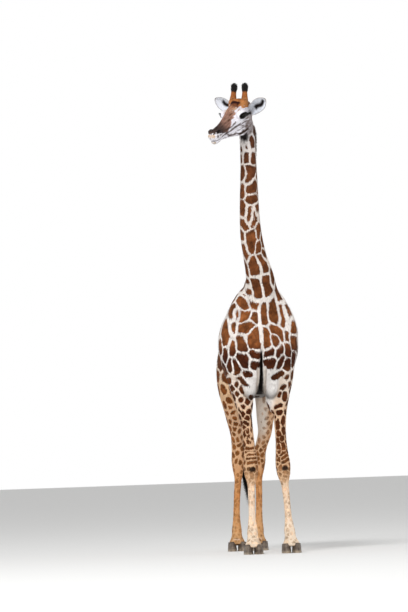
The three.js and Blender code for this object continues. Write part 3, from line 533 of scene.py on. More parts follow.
# How far apart the patches are, in metres.
spacing = np.interp(height, (1.6, 2.2, 2.7, 3.3, 3.9), (0.15, 0.175, 0.15, 0.12, 0.085))
leg_gap = np.where(
    place[:, 1] < -0.1, np.interp(height, (0.2, 0.9, 1.3, 1.75), (0.032, 0.042, 0.056, 0.11)),
    np.interp(height, (0.2, 0.9, 1.3, 1.75), (0.032, 0.044, 0.062, 0.12)),
)
spacing = spacing + (leg_gap - spacing) * np.maximum(fore, hind)
spacing = np.where((place[:, 1] > 0.79) & (height < 1.95), 0.05, spacing)  # the tail
laid_at = np.array([(np.array(a) + np.array(b)) / 2 for a, b in zip(starts, stops)])
laid_half = np.array([(a - b).length / 2 for a, b in zip(starts, stops)])
found = np.empty((0, 3))
for k in draw.permutation(len(place))[:26000]:
    p, gap = place[k], spacing[k]
    if place[k, 2] > 3.88 or (np.linalg.norm(laid_at - p, axis=1) - laid_half < gap * 0.62).any():
        continue
    if abs(p[0]) < 0.13 and p[1] < -0.45 and 1.38 < p[2] < 1.66:
        continue  # the low chest is plain between the legs
    if len(found) and (np.linalg.norm(found - p, axis=1) < gap * 0.86).any():
        continue
    found = np.vstack([found, p])
    length = gap * draw.uniform(0.1, 0.34)
    lean = Vector((draw.normal(0, 0.5), draw.normal(0, 0.5), 1)).normalized()
    lean = (lean - Vector(normal[k]) * lean.dot(Vector(normal[k]))).normalized() * length / 2
    starts.append(Vector(p) + lean)
    stops.append(Vector(p) - lean)
    radii.append(gap * draw.uniform(0.05, 0.2))
    patch_of.append(patch_of[-1] + 1)
    on_leg = max(fore[k], hind[k])
    loose = draw.uniform(0.46, 0.85) if fore[k] > hind[k] else draw.uniform(0.38, 0.60)
    if p[0] > 0.1 and p[1] < -0.1:
        loose = 0.42 + 0.6 * (loose - 0.46)  # the left foreleg is the palest
    reach_of.append(0.5 if on_leg < 0.35 else gap * loose)
starts, stops = np.array(starts), np.array(stops)
radii, patch_of, reach_of = np.array(radii), np.array(patch_of), np.array(reach_of)
heads = np.flatnonzero(np.r_[True, np.diff(patch_of) > 0])

# The edges wander: each point is measured from a little beside itself.
sway = 0.004 + 0.011 * fade(place[:, 1], -0.62, -0.2) * fade(height, 1.3, 1.7)
sway = sway * (1 - 0.6 * np.maximum(fore, hind))
waves = draw.normal(0, 1, (12, 3)) * 26
lean = draw.normal(0, 1, (12, 3)) / 3
waved = place + sway[:, None] * (np.sin(place @ waves.T + draw.uniform(0, 6, 12)) @ lean)


def gaps_at(rows):
    """The patches near some of the vertices, and how far each vertex is from each of them."""
    low, high = place[rows, 2].min() - 0.3, place[rows, 2].max() + 0.3
    near = (np.maximum(starts[:, 2], stops[:, 2]) > low) & (np.minimum(starts[:, 2], stops[:, 2]) < high)
    span = np.float32(stops[near] - starts[near])
    rel = np.float32(waved[rows])[:, None] - np.float32(starts[near])
    t = np.clip((rel * span).sum(2) / np.maximum((span**2).sum(1), 1e-9), 0, 1)
    gap = np.sqrt(((rel - t[..., None] * span) ** 2).sum(2)) - radii[near]
    group = patch_of[near]
    begins = np.flatnonzero(np.r_[True, np.diff(group) > 0])
    return group[begins], np.minimum.reduceat(gap, begins, axis=1)


# Neighbouring patches get different ones of six classes. Each vertex then holds its distance to
# the nearest patch of every class, from which the line between two patches is drawn sharply.
order = np.argsort(place[:, 2])
pairs = set()
for k in range(0, len(place), 2400):
    group, gap = gaps_at(order[k:k + 2400:2])
    two = np.sort(group[np.argpartition(gap, 1, axis=1)[:, :2]], axis=1)
    pairs.update(map(tuple, two.tolist()))
beside = [set() for _ in heads]
for one, other in pairs:
    beside[one].add(other)
    beside[other].add(one)
left, stack = [set(b) for b in beside], []
waiting = set(range(len(heads)))
while waiting:
    least = min(waiting, key=lambda k: len(left[k]))
    waiting.remove(least)
    stack.append(least)
    for other in left[least]:
        left[other].discard(least)
kind_of = np.full(len(heads), -1)
for k in reversed(stack):
    used = {kind_of[other] for other in beside[k]}
    kind_of[k] = next((c for c in range(6) if c not in used), 5)
apart = np.full((len(place), 6), 0.5)
owner = np.empty(len(place), int)
for k in range(0, len(place), 1200):
    rows = order[k:k + 1200]
    group, gap = gaps_at(rows)
    owner[rows] = group[gap.argmin(1)]
    for kind in range(6):
        here = kind_of[group] == kind
        if here.any():
            apart[rows, kind] = gap[:, here].min(1)
limit = reach_of[heads][owner]
line_half = np.interp(height, (1.0, 1.6, 2.0, 2.6, 3.3), (0.0045, 0.0088, 0.0104, 0.0112, 0.0100))
waves = draw.normal(0, 1, (9, 3)) * 14
wavy = np.sin(place @ waves.T + draw.uniform(0, 6, 9)).sum(1) / 3  # lines are wide in places, fine in others
bare = line_half * np.clip(1 + 0.42 * wavy, 0.4, 1.9)


def linear(code):
    """A colour written as sRGB hex, in linear light."""
    c = np.array([int(code[k:k + 2], 16) / 255 for k in (0, 2, 4)])
    return np.where(c <= 0.04045, c / 12.92, ((c + 0.055) / 1.055) ** 2.4)


def tones_along(value, table):
    """A colour for each vertex, between the colours that a table gives along a measure."""
    at, codes = zip(*(item.split() for item in table.split(",")))
    colours = np.array([linear(code) for code in codes])
    return np.stack([np.interp(value, np.array(at, float), colours[:, k]) for k in range(3)], 1)


def tint(base, code, weight):
    """Draws colours towards one colour, by a weight for each of them."""
    base += (linear(code) - base) * weight[:, None]


# The pale ground and the brown of the patches, by height in metres: first on trunk and neck, then
# on the forelegs and the hind legs.
ground = tones_along(height, """
    1.55 efe9e5, 1.75 ece4de, 1.9 e2d7ce, 2.2 e6ddd6, 2.6 dbcfc4, 3.0 d9c9bc, 3.6 d6c6ba, 3.9 dcd6d6""")
# The darkest brown, at 1.76 m low on the chest under the breast, is partly the patches' own colour and partly
# painted shade.
patch = tones_along(height, """
    1.55 5e3519, 1.76 48220f, 1.86 542a14, 1.93 85532f, 2.2 8a5833, 2.45 6a3f23, 2.9 7b4d2d, 3.3 74482c,
    3.7 5f3b28""")
flank_patch = tones_along(height, "1.4 6e4426, 1.7 6b4122, 2.1 7d4f2c, 2.5 74482a, 2.9 7b4d2d")
for base, leg, table in (
    (ground, fore, """0.1 e6d8c6, 0.3 f0dfcc, 0.6 eed8c2, 0.7 d9b794, 0.85 cfab88, 1.1 d9b695, 1.35 e0c4a8,
        1.48 ede0d4, 1.7 efe8e2"""),
    (patch, fore, "0.1 c4a27c, 0.6 c8996d, 0.8 7d5330, 1.0 6e4120, 1.3 512810, 1.45 5b3013, 1.7 6e4425"),
    (ground, hind, """0.1 c9a277, 0.5 cc9562, 0.72 cb9868, 0.8 d0a47c, 1.0 d8b491, 1.3 d8b493, 1.6 dcbd98,
        1.9 dcc6a8"""),
    (patch, hind, "0.1 a67d52, 0.5 a97845, 0.8 8e6238, 1.1 946238, 1.3 85532d, 1.6 8a5427, 1.9 875632"),
):
    base += (tones_along(height, table) - base) * leg[:, None]
# The flanks and back are a warmer tan between the patches than the neck's and chest's front.
back = fade(place[:, 1], -0.62, -0.2) * fade(height, 1.45, 1.75) * (1 - hind)
tint(ground, "d8bf9c", 0.7 * back)
patch += (flank_patch - patch) * back[:, None]
# Belly and the inner sides of the thighs are plain and greyish.
on_right, on_left = leg_x("hindleg_right", height * 1000), leg_x("hindleg_left", height * 1000)
leg_middle = np.where(place[:, 0] > (on_right + on_left) / 2000, on_left, on_right) / 1000
inward = -(place[:, 0] - leg_middle) * np.sign(leg_middle) - 0.055 * (leg_middle < 0)
inner = fade(inward, -0.035, 0.015) * fade(height, 0.98, 1.2) * hind
belly = fade(-normal[:, 2], 0.35, 0.75) * fade(height, 1.3, 1.4) * (1 - hind)
belly = belly * fade(place[:, 1], -0.75, -0.55)
tint(ground, "e0d8d0", np.maximum(inner, 0.8 * belly))
# The top of the inner thigh, up under the belly, is painted darker grey: painted shade.
tint(ground, "8f7c6d", 0.75 * inner * fade(height, 1.35, 1.55))
bare = bare + np.maximum(0.011 * inner + 0.05 * fade(inward, 0.04, 0.07) * inner, 0.03 * belly)
# The crescent of loose skin where the neck meets the chest.
front = fade(-normal[:, 1], 0.1, 0.4) * (place[:, 1] < -0.6)
crescent = height - (2.325 + 3.1 * place[:, 0] ** 2)
bare = bare + 0.05 * np.exp(-((crescent / 0.010) ** 2)) * front * (np.abs(place[:, 0]) < 0.16)
# The chest's pale mid-line, and below it the cleft between the legs, painted near-black: painted shade in its
# depth.
# Pale lips with a tan ridge beside them stand on both sides of the cleft.
middle = np.exp(-((place[:, 0] / 0.011) ** 2)) * front
bare = bare + 0.03 * middle * fade(height, 1.93, 1.98) * (1 - fade(height, 2.26, 2.3))
aside = np.abs(place[:, 0] - 0.002)
half = np.interp(height, (1.46, 1.485, 1.51, 1.6, 1.7, 1.86), (0.030, 0.026, 0.015, 0.013, 0.010, 0.007))
side_way = aside / half
low_front = (place[:, 1] < -0.55) * fade(height, 1.40, 1.44)
beside_cleft = low_front * (1 - fade(height, 1.68, 1.74))
tint(ground, "cdbda9", 0.8 * fade(aside, 0.016, 0.020) * (1 - fade(aside, 0.036, 0.042)) * beside_cleft)
tan_ridge = np.exp(-(((aside - 0.041) / 0.007) ** 2)) * beside_cleft
tint(ground, "8d6c50", 0.8 * tan_ridge)
bare = bare + 0.03 * tan_ridge
bare = bare + 0.05 * (np.abs(place[:, 0]) < 0.040) * low_front * (1 - fade(height, 1.69, 1.73))
# Painted shade: the deep cleft between the forelegs is painted near-black.
cleft = (1 - fade(side_way, 1.1, 1.6)) * low_front * (1 - fade(height, 1.84, 1.90))
# Painted shade under the chest between the forelegs, near-black, partly also for the darker hair there.
under_chest_shade = fade(-normal[:, 2], 0.2, 0.6) * (np.abs(place[:, 0]) < 0.16)
under_chest_shade = under_chest_shade * (1 - fade(np.abs(place[:, 1] + 0.42), 0.3, 0.4))
cleft = np.maximum(cleft, 0.7 * under_chest_shade * (1 - fade(height, 1.52, 1.62)) * fade(height, 1.40, 1.44))
# The bare dark pads on the knees.
for leg in ("foreleg_right", "foreleg_left"):
    gap = np.hypot(place[:, 0] - (leg_x(leg, 790) / 1000 + 0.012), (height - 0.782) * 1.35)
    pad = (1 - fade(gap, 0.024, 0.038)) * (normal[:, 1] < -0.3) * (place[:, 1] < -0.5)
    for base in (ground, patch):
        tint(base, "1d110c", 0.95 * pad)
# Spots fade out down the shanks, more in front.
shank = (1 - fade(height, 0.62, 0.86)) * np.maximum(fore, hind)
blend = 1 - (0.78 + 0.20 * (fore > hind)) * shank
blend = blend * (1 - 0.45 * inner) * (1 - 0.35 * hind * (place[:, 0] > 0.02) * fade(height, 0.9, 1.1))
patch = ground + (patch - ground) * blend[:, None]
# Each patch has its own depth of brown. The ground is lighter on the trunk than on the legs.
tone = draw.normal(1, 0.10, len(heads))[owner]
patch = patch * (0.78 * np.clip(tone, 0.72, 1.25))[:, None] * (1.05, 0.90, 0.76)
on_legs = np.maximum(fore, hind)[:, None]
ground = ground + (1 - on_legs) * 0.25 * (1 - ground)
ground = ground * (1 + on_legs * (0.04, -0.01, -0.06))
# The painted shade of the cleft and under the chest, near-black over ground and patches.
for base in (ground, patch):
    tint(base, "100806", cleft)

# The head's colours: white cheeks, a brown blaze from the crown down over the whole muzzle, and
# streaks along the lie of the hair. Places are in the head's frame, in millimetres.
spots = in_head(place)
ahead = -spots[:, 1]


def streaks(across, along):
    """Soft noise of about -1 to 1 over the head, drawn out along the hair."""
    count = 24
    waves = draw.normal(0, 1, (count, 3)) / (across, along, across)
    return np.sin(spots @ waves.T * 2.2 + draw.uniform(0, 6.3, count)).sum(1) / math.sqrt(count / 2)


def jaw_low(ahead):
    """How low the jaw reaches, by how far ahead it is."""
    rows = np.array(skull_rows)
    return np.interp(ahead, -rows[:, 1], rows[:, 2] - rows[:, 5])


fine_streak, broad_streak = streaks(7, 40), streaks(20, 60)
face_colour = np.repeat(linear("efecf3")[None], len(place), 0)
face_colour *= (1 + 0.05 * fine_streak + 0.05 * broad_streak)[:, None]
crease = fade(streaks(11, 62), 0.55, 1.7) * fade(ahead, 90, 160) * fade(30 - spots[:, 2], 0, 50)
tint(face_colour, "685651", 0.9 * crease)
jowl = (1 - fade(ahead + 22 * broad_streak, 135, 200)) * fade(30 - spots[:, 2] + 10 * fine_streak, 0, 34)
tint(face_colour, "624a3e", 0.9 * jowl * (0.8 + 0.2 * np.clip(fine_streak, -1, 1)))
rim_low = np.interp(
    ahead, (40, 100, 150, 200, 250, 300, 335, 375, 430, 480, 530, 570, 606, 640),
    (74, 66, 86, 95, 72, 44, 18, -22, -44, -50, -34, -8, 4, 8),
)
rim_low += 30 * fade(np.abs(spots[:, 0]), 64, 82) * fade(ahead, 160, 185) * (1 - fade(ahead, 300, 330))
blaze = fade(spots[:, 2] - rim_low + 9 * broad_streak + 3.5 * fine_streak, -8, 8)
brown_face = tones_along(ahead, """
    20 6b5142, 60 8a6a50, 95 ad7040, 150 a2673e, 200 9c6f52, 260 9c7460, 330 987263, 400 876457, 450 5c463e,
    500 3e302d, 560 332826, 600 4a3a33, 640 4a3a33""")
brown_face *= np.clip(1 + 0.16 * fine_streak + 0.12 * broad_streak, 0.5, 1.5)[:, None]
face_colour += (brown_face - face_colour) * blaze[:, None]
# Dabs of colour on both sides: place, radius, how much longer in x, y and z, colour, strength.
dabs = (
    ((60, -100, 96), 40, (1.0, 1.2, 1.0), "c58d55", 0.55),  # feet of the horns
    ((0, -20, 100), 60, (1.1, 0.9, 1.1), "6f5546", 0.8),  # nape
    ((24, -180, 112), 26, (2.0, 1.0, 1.0), "6b3a22", 0.75),  # brown below the crown
    ((8, -150, 132), 18, (3.6, 1.3, 1.4), "2c100c", 1.0),  # dark bar before the horns
    ((44, -226, 98), 12, (1.3, 2.8, 0.9), "cbab8c", 0.8),  # pale streak beside the forehead
    ((22, -262, 96), 8, (0.9, 4.5, 1.0), "b08c74", 0.6),
    ((34, -300, 70), 8, (0.9, 5.0, 1.0), "5b3626", 0.85),  # dark streaks down the nose
    ((14, -330, 74), 6, (0.9, 6.0, 1.0), "5f4030", 0.6),
    ((42, -352, 36), 9, (0.8, 4.6, 0.9), "4c2f22", 0.85),
    ((30, -380, 46), 6, (0.8, 7.0, 0.9), "a98874", 0.65),
    ((52, -372, 2), 7, (0.9, 5.5, 0.8), "9a7a69", 0.6),
    ((54, -392, -20), 9, (0.9, 5.0, 0.9), "463029", 0.8),
    ((76, -196, 72), 15, (1.0, 2.8, 0.8), "e2d6cc", 0.95),  # pale brow over the eye
    ((78, -262, 38), 13, (0.9, 2.6, 0.9), "e6e2e8", 0.8),  # white before and below it
    ((84, -262, -14), 24, (0.9, 2.4, 0.9), "f6f4fa", 0.9),
    ((88, -150, -112), 12, (1.0, 2.4, 0.8), "54403a", 0.6),
    # Painted shade in the creases of the cheek, in this dab and the next three:
    ((84, -205, -74), 7, (1.0, 6.0, 0.7), "968a90", 0.7),  # creases of the cheek
    ((68, -312, -43), 6, (1.0, 8.0, 0.7), "6c5853", 0.8),
    ((60, -352, -84), 7, (1.0, 7.0, 0.7), "7c6862", 0.75),
    ((84, -250, -52), 5, (1.0, 6.0, 0.7), "857672", 0.7),
    ((44, -340, -112), 13, (1.8, 6.0, 1.0), "4f3a30", 0.9),  # shaded edge of the jaw
    ((76, -220, -128), 15, (1.6, 4.6, 1.0), "4f3a30", 0.85),
    ((47, -560, 10), 17, (0.9, 2.2, 0.8), "150f0f", 1.0),  # nostrils
    ((46, -510, -10), 11, (0.9, 2.6, 0.8), "2f2422", 0.85),
    ((20, -600, 14), 10, (1.6, 1.2, 0.8), "3b2e2a", 0.8),
    ((24, -614, -18), 20, (1.7, 0.8, 0.9), "cbae90", 0.9),  # cream upper lip
    ((50, -586, -30), 14, (0.9, 1.2, 1.3), "4a3c36", 0.85),
    ((54, -545, -40), 10, (0.9, 2.0, 0.8), "cfc6bd", 0.8),
    ((58, -500, -34), 12, (0.9, 2.6, 0.9), "6d574d", 0.8),
    ((44, -490, -56), 8, (0.9, 4.0, 0.7), "5f473c", 0.85),  # corner of the mouth
    ((20, -606, -84), 16, (1.6, 0.9, 0.7), "bda98d", 0.85),
    ((40, -560, -92), 10, (1.2, 3.0, 0.7), "ddd6d0", 0.8),  # lower lip
    ((22, -572, -106), 20, (2.0, 3.0, 0.65), "43332b", 0.9),  # chin
)
warp = (1.5 * fine_streak, 4.0 * broad_streak, 1.8 * broad_streak + 1.2 * fine_streak)
warped = spots + np.stack(warp, 1)
for at, radius, stretch, code, strength in dabs:
    for hand in (1, -1):
        gap = np.linalg.norm((warped - np.array(at) * (hand, 1, 1)) / np.array(stretch), axis=1)
        tint(face_colour, code, strength * (1 - fade(gap, radius * 0.55, radius * 1.25)))
# Painted shade along the folds of cheek and jaw, drawn as dark lines: places on the way, half width, colour,
# strength.
fold_shade_lines = (
    (((94, -172, -36), (86, -237, -42), (66, -312, -43), (50, -399, -58), (46, -446, -59)), 4, "443430", 0.9),
    (((92, -150, -92), (80, -215, -84), (66, -300, -90), (52, -380, -86)), 3, "574540", 0.8),
    (
        ((86, -150, -125), (76, -230, -130), (58, -320, -122), (40, -400, -104), (34, -460, -98)),
        9, "3d2c25", 0.95,
    ),
    (((50, -440, -24), (56, -392, -24), (64, -350, -20), (76, -300, -4)), 4.5, "4c3830", 0.85),
)
for places, half, code, strength in fold_shade_lines:
    for hand in (1, -1):
        nearest = np.full(len(place), 99.0)
        for a, b in zip(places[:-1], places[1:]):
            a, b = np.array(a) * (hand, 1, 1), np.array(b) * (hand, 1, 1)
            t = np.clip((warped - a) @ (b - a) / ((b - a) @ (b - a)), 0, 1)
            nearest = np.minimum(nearest, np.linalg.norm(warped - a - t[:, None] * (b - a), axis=1))
        tint(face_colour, code, strength * (1 - fade(nearest + 1.5 * fine_streak, half, half + 6)))
# Bare black skin round the eye, and a black streak from its back corner to the root of the ear.
for hand in (1, -1):
    rel = spots - np.array((hand * 112, eye_at.y * 1000 + 6, eye_at.z * 1000 - 5))
    gap = np.hypot(np.hypot(rel[:, 1] / 1.85, rel[:, 2] + 0.14 * rel[:, 1]), rel[:, 0] * 0.15)
    tint(face_colour, "0b0706", 1 - fade(gap, 30.5, 35))
    t = np.clip((warped[:, 1] + 190) / 150, 0, 1)
    streak = np.stack([hand * (112 - 22 * t), -190 + 150 * t, 20 - 26 * t], 1)
    gap = np.linalg.norm((warped - streak) / (1.6, 1, 1), axis=1)
    tint(face_colour, "100a08", 0.95 * (1 - fade(gap, 13 - 3 * t, 20 - 4 * t)))
# The line of the mouth.
gap = np.abs(spots[:, 2] - mouth_at(ahead))
tint(face_colour, "2c211d", (1 - fade(gap, 2.2, 6)) * fade(ahead, 396, 420) * 0.85)
skull_part = fade(ahead, -12, 14) * fade(spots[:, 2], jaw_low(ahead) - 24, jaw_low(ahead) - 4)
ground += (face_colour - ground) * skull_part[:, None]
bare = bare + 0.12 * skull_part
# Painted shade on the throat under the jaw, kept free of patches.
gap = np.linalg.norm(place - np.array((-0.100, -1.09, 3.824)), axis=1)
throat_shade = (1 - fade(gap, 0.034, 0.055)) * (1 - 0.1 * skull_part)
tint(ground, "100605", throat_shade)
bare = bare + 0.05 * throat_shade


def add(tree, kind, links=(), **settings):
    """Adds a node with its settings, and links from (node, socket) to its sockets."""
    node = tree.nodes.new(kind)
    for key, value in settings.items():
        if key.startswith("_"):
            node.inputs[int(key[1:])].default_value = value
        else:
            setattr(node, key, value)
    for socket, (source, output) in links:
        tree.links.new(source.outputs[output], node.inputs[socket])
    return node


def coat_material(name, whole=False):
    """Hair that is brown where its mark is above zero. On the whole skin the mark is worked out."""
    made = bpy.data.materials.new(name)
    made.use_nodes = True
    tree = made.node_tree
    shader = tree.nodes["Principled BSDF"]
    base = add(tree, "ShaderNodeAttribute", attribute_name="ground")
    brown = add(tree, "ShaderNodeAttribute", attribute_name="patch")
    inside = (add(tree, "ShaderNodeAttribute", attribute_name="mark"), "Fac")
    if whole:
        values = {}
        kept = (("limit", "Fac"), ("bare", "Fac"), ("apart_a", "Vector"), ("apart_b", "Vector"))
        for stored, output in kept:
            values[stored] = (add(tree, "ShaderNodeAttribute", attribute_name=stored), output)
        sides = (values["apart_a"], values["apart_b"])
        for half, how in (("low", "MINIMUM"), ("high", "MAXIMUM")):
            pick = add(tree, "ShaderNodeVectorMath", enumerate(sides), operation=how)
            parts = add(tree, "ShaderNodeSeparateXYZ", [(0, (pick, 0))])
            values.update({f"{half} {k}": (parts, k) for k in range(3)})
        # The least and the second of the six distances. Half of what parts them is the way to the
        # line between two patches, and the limit is how far a patch may reach on its own.
        for result, how, one, other in (
            ("less", "MINIMUM", "low 0", "low 1"),
            ("more", "MAXIMUM", "low 0", "low 1"),
            ("more", "MINIMUM", "more", "low 2"),
            ("nearest", "MINIMUM", "less", "low 2"),
            ("second", "MAXIMUM", "less", "more"),
            ("rest", "MINIMUM", "high 0", "high 1"),
            ("rest", "MINIMUM", "rest", "high 2"),
            ("second", "MINIMUM", "second", "rest"),
            ("between", "SUBTRACT", "second", "nearest"),
            ("between", "MULTIPLY", "between", 0.5),
            ("far", "SUBTRACT", "limit", "nearest"),
            ("inside", "MINIMUM", "between", "far"),
            ("inside", "SUBTRACT", "inside", "bare"),
        ):
            links = [(k, values[value]) for k, value in enumerate((one, other)) if value in values]
            numbers = {} if other in values else {"_1": other}
            values[result] = (add(tree, "ShaderNodeMath", links, operation=how, **numbers), 0)
        inside = values["inside"]
    where = add(tree, "ShaderNodeTexCoord")
    ragged = add(tree, "ShaderNodeTexNoise", [("Vector", (where, "Object"))], _2=48.0, _3=5.0, _4=0.7)
    edge_of = add(
        tree, "ShaderNodeMath", [(0, (ragged, "Fac"))], operation="MULTIPLY_ADD", _1=0.026, _2=-0.0125,
    )
    summed = add(tree, "ShaderNodeMath", [(0, inside), (1, (edge_of, 0))], operation="ADD")
    sharp = add(
        tree, "ShaderNodeMapRange", [(0, (summed, 0))], interpolation_type="SMOOTHSTEP", _1=-0.003, _2=0.0035,
    )
    stroke_lie = add(tree, "ShaderNodeMapping", [("Vector", (where, "Object"))], _3=(1.0, 1.0, 0.16))
    stroke = add(tree, "ShaderNodeTexNoise", [("Vector", (stroke_lie, 0))], _2=260.0, _3=3.0, _4=0.7)
    blotch = add(tree, "ShaderNodeTexNoise", [("Vector", (where, "Object"))], _2=19.0, _3=4.0, _4=0.6)
    mottle = add(tree, "ShaderNodeMapRange", [(0, (blotch, "Fac"))], _1=0.3, _2=0.7, _3=0.50, _4=1.62)
    grain = add(tree, "ShaderNodeMapRange", [(0, (stroke, "Fac"))], _1=0.3, _2=0.7, _3=0.86, _4=1.12)
    both = add(tree, "ShaderNodeMath", [(0, (mottle, 0)), (1, (grain, 0))], operation="MULTIPLY")
    mixed = add(tree, "ShaderNodeMix", [("Factor", (sharp, 0))], data_type="RGBA")
    for socket, colour, by in ((6, base, grain), (7, brown, both)):
        scaled = add(
            tree, "ShaderNodeVectorMath", [(0, (colour, "Color")), ("Scale", (by, 0))], operation="SCALE",
        )
        tree.links.new(scaled.outputs[0], mixed.inputs[socket])
    tree.links.new(mixed.outputs[2], shader.inputs["Base Color"])
    bump = add(tree, "ShaderNodeBump", [("Height", (stroke, "Fac"))], _0=0.5, _1=0.003)
    tree.links.new(bump.outputs[0], shader.inputs["Normal"])
    shader.inputs["Roughness"].default_value = 0.62
    shader.inputs["Specular IOR Level"].default_value = 0.1
    return made


def painted_on(mesh, **values):
    """Stores one number, vector or colour for each vertex as an attribute of the mesh."""
    for name, value in values.items():
        kind, key = "FLOAT_COLOR", "color"
        if value.ndim == 1:
            kind, key = "FLOAT", "value"
        elif name.startswith("apart"):
            kind, key = "FLOAT_VECTOR", "vector"
        else:
            value = np.c_[value, np.ones(len(value))]
        mesh.attributes.new(name, kind, "POINT").data.foreach_set(key, value.astype(np.float32).ravel())


def piece_of(name, mesh, material):
    """Puts a mesh in the scene as a piece of one material."""
    mesh.materials.append(material)
    made = bpy.data.objects.new(name, mesh)
    bpy.context.scene.collection.objects.link(made)
    return made


# Short glossy hair laid close: brown to black-brown patches with a ragged edge on a cream ground,
# a slight sheen, and fine strokes down the lie of the coat.
hide_coat = coat_material("short glossy giraffe hair", whole=True)
short_coat = coat_material("short giraffe hair, tufts")
bmesh.ops.translate(hide, verts=hide.verts, vec=home)
bmesh.ops.recalc_face_normals(hide, faces=hide.faces)
skin_mesh = as_mesh(hide, "skin")
painted_on(
    skin_mesh, apart_a=apart[:, :3], apart_b=apart[:, 3:], limit=limit, bare=bare,
    ground=np.clip(ground, 0, 1), patch=np.clip(patch, 0, 1),
)
# Where the skin lies flat it needs fewer faces. What is stored on it is read back for the hair.
skin_mesh = modified(skin_mesh, "DECIMATE", ratio=0.945)


def read_back(name, key, width):
    """One of the skin's stored values, as an array with a row for each vertex."""
    values = np.empty(len(skin_mesh.vertices) * width, np.float32)
    skin_mesh.attributes[name].data.foreach_get(key, values)
    return values.reshape(-1, width).astype(float)


apart = np.c_[read_back("apart_a", "vector", 3), read_back("apart_b", "vector", 3)]
limit, bare = (read_back(name, "value", 1)[:, 0] for name in ("limit", "bare"))
ground, patch = (read_back(name, "color", 4)[:, :3] for name in ("ground", "patch"))
skin = piece_of("skin", skin_mesh, hide_coat)
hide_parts("torso", "neck", "head", "foreleg_left", "foreleg_right", "hindleg_left", "hindleg_right")
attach(skin, "root")

# ---- Unwrap
# The hide is flattened as a skinner would cut it: trunk, neck, head, tail and each leg opened
# along one line and laid side by side, so that skin and hair share their places on the map.
charts = {
    "trunk": (0.02, 0.02, 0.44, 0.46),
    "neck": (0.51, 0.02, 0.21, 0.46),
    "head": (0.77, 0.02, 0.21, 0.46),
    "foreleg_right": (0.02, 0.53, 0.15, 0.45),
    "foreleg_left": (0.22, 0.53, 0.15, 0.45),
    "hindleg_right": (0.42, 0.53, 0.15, 0.45),
    "hindleg_left": (0.62, 0.53, 0.15, 0.45),
    "tail": (0.82, 0.53, 0.15, 0.45),
}
neck_line = stations(neck_rows, 4)[:, :3] / 1000
tail_line = stations(dock_rows, 3)[:, :3] / 1000


def chart_of(points):
    """The name of the map's part that each point belongs to."""
    ahead = in_head(points)
    names = np.full(len(points), "trunk", dtype="U14")
    names[(points[:, 2] > 2.42) & (points[:, 1] < -0.45)] = "neck"
    names[(points[:, 2] < 1.95) & (points[:, 1] > 0.8)] = "tail"
    near = leg_share(points)
    for k, leg in enumerate(stance):
        names[(near[k] < 1.5) & (near[k] <= near.min(0)) & (points[:, 2] < 1.5)] = leg
    low = jaw_low(-ahead[:, 1])
    names[(ahead[:, 1] < 6) & (ahead[:, 2] > low - 16) & (points[:, 2] > 3.6)] = "head"
    return names


def on_map(points, name):
    """Where points lie on the map, for one of its parts."""
    left, low, wide, tall = charts[name]
    x, y, z = points.T
    if name == "trunk":
        turn, along = np.arctan2(x, z - 1.86), (y + 1.02) / 1.84
    elif name == "head":
        across, ahead, high = in_head(points).T
        turn, along = np.arctan2(across, high + 20), (ahead + 640) / 700
    elif name in stance:
        table = np.array(stance[name][0])[::-1]
        middle_y = np.interp(z * 1000, table[:, 0], table[:, 1]) / 1000
        turn, along = np.arctan2(x - leg_x(name, z * 1000) / 1000, y - middle_y), (z - 0.03) / 1.75
    else:
        line, foot, span = (neck_line, 2.3, 1.7) if name == "neck" else (tail_line[::-1], 0.9, 1.1)
        middle_x, middle_y = (np.interp(z, line[:, 2], line[:, k]) for k in (0, 1))
        turn, along = np.arctan2(x - middle_x, y - middle_y), (z - foot) / span
    return np.stack([left + wide * (turn / (2 * np.pi) + 0.5), low + tall * np.clip(along, 0, 1)], 1)


corner_count = len(skin_mesh.loops)
corner_vertex = np.empty(corner_count, np.int32)
skin_mesh.loops.foreach_get("vertex_index", corner_vertex)
face_size = np.empty(len(skin_mesh.polygons), np.int32)
skin_mesh.polygons.foreach_get("loop_total", face_size)
face_of = np.repeat(np.arange(len(face_size)), face_size)
first = np.r_[0, np.cumsum(face_size)[:-1]]
at_home = np.array([v.co[:] for v in skin_mesh.vertices]) - np.array(home)
middle = np.add.reduceat(at_home[corner_vertex], first, axis=0) / face_size[:, None]
face_chart = chart_of(middle)
flat = np.empty((corner_count, 2))
for name in charts:
    here = np.flatnonzero(face_chart[face_of] == name)
    flat[here] = on_map(at_home[corner_vertex[here]], name)
for name, (left, _, wide, _) in charts.items():
    high = np.maximum.reduceat(flat[:, 0], first)
    wraps = ((high - np.minimum.reduceat(flat[:, 0], first)) > wide / 2) & (face_chart == name)
    flat[wraps[face_of] & (flat[:, 0] < left + wide / 2), 0] += wide
skin_mesh.uv_layers.new(name="OFBake").data.foreach_set("uv", flat.astype(np.float32).ravel())

# ---- Hair: how a tuft is made
# A tuft is one thin three-sided blade that leaves the skin along its rise, swells a little, and
# bends over along its lie to a point. Each piece of coat is thousands of them in one mesh.


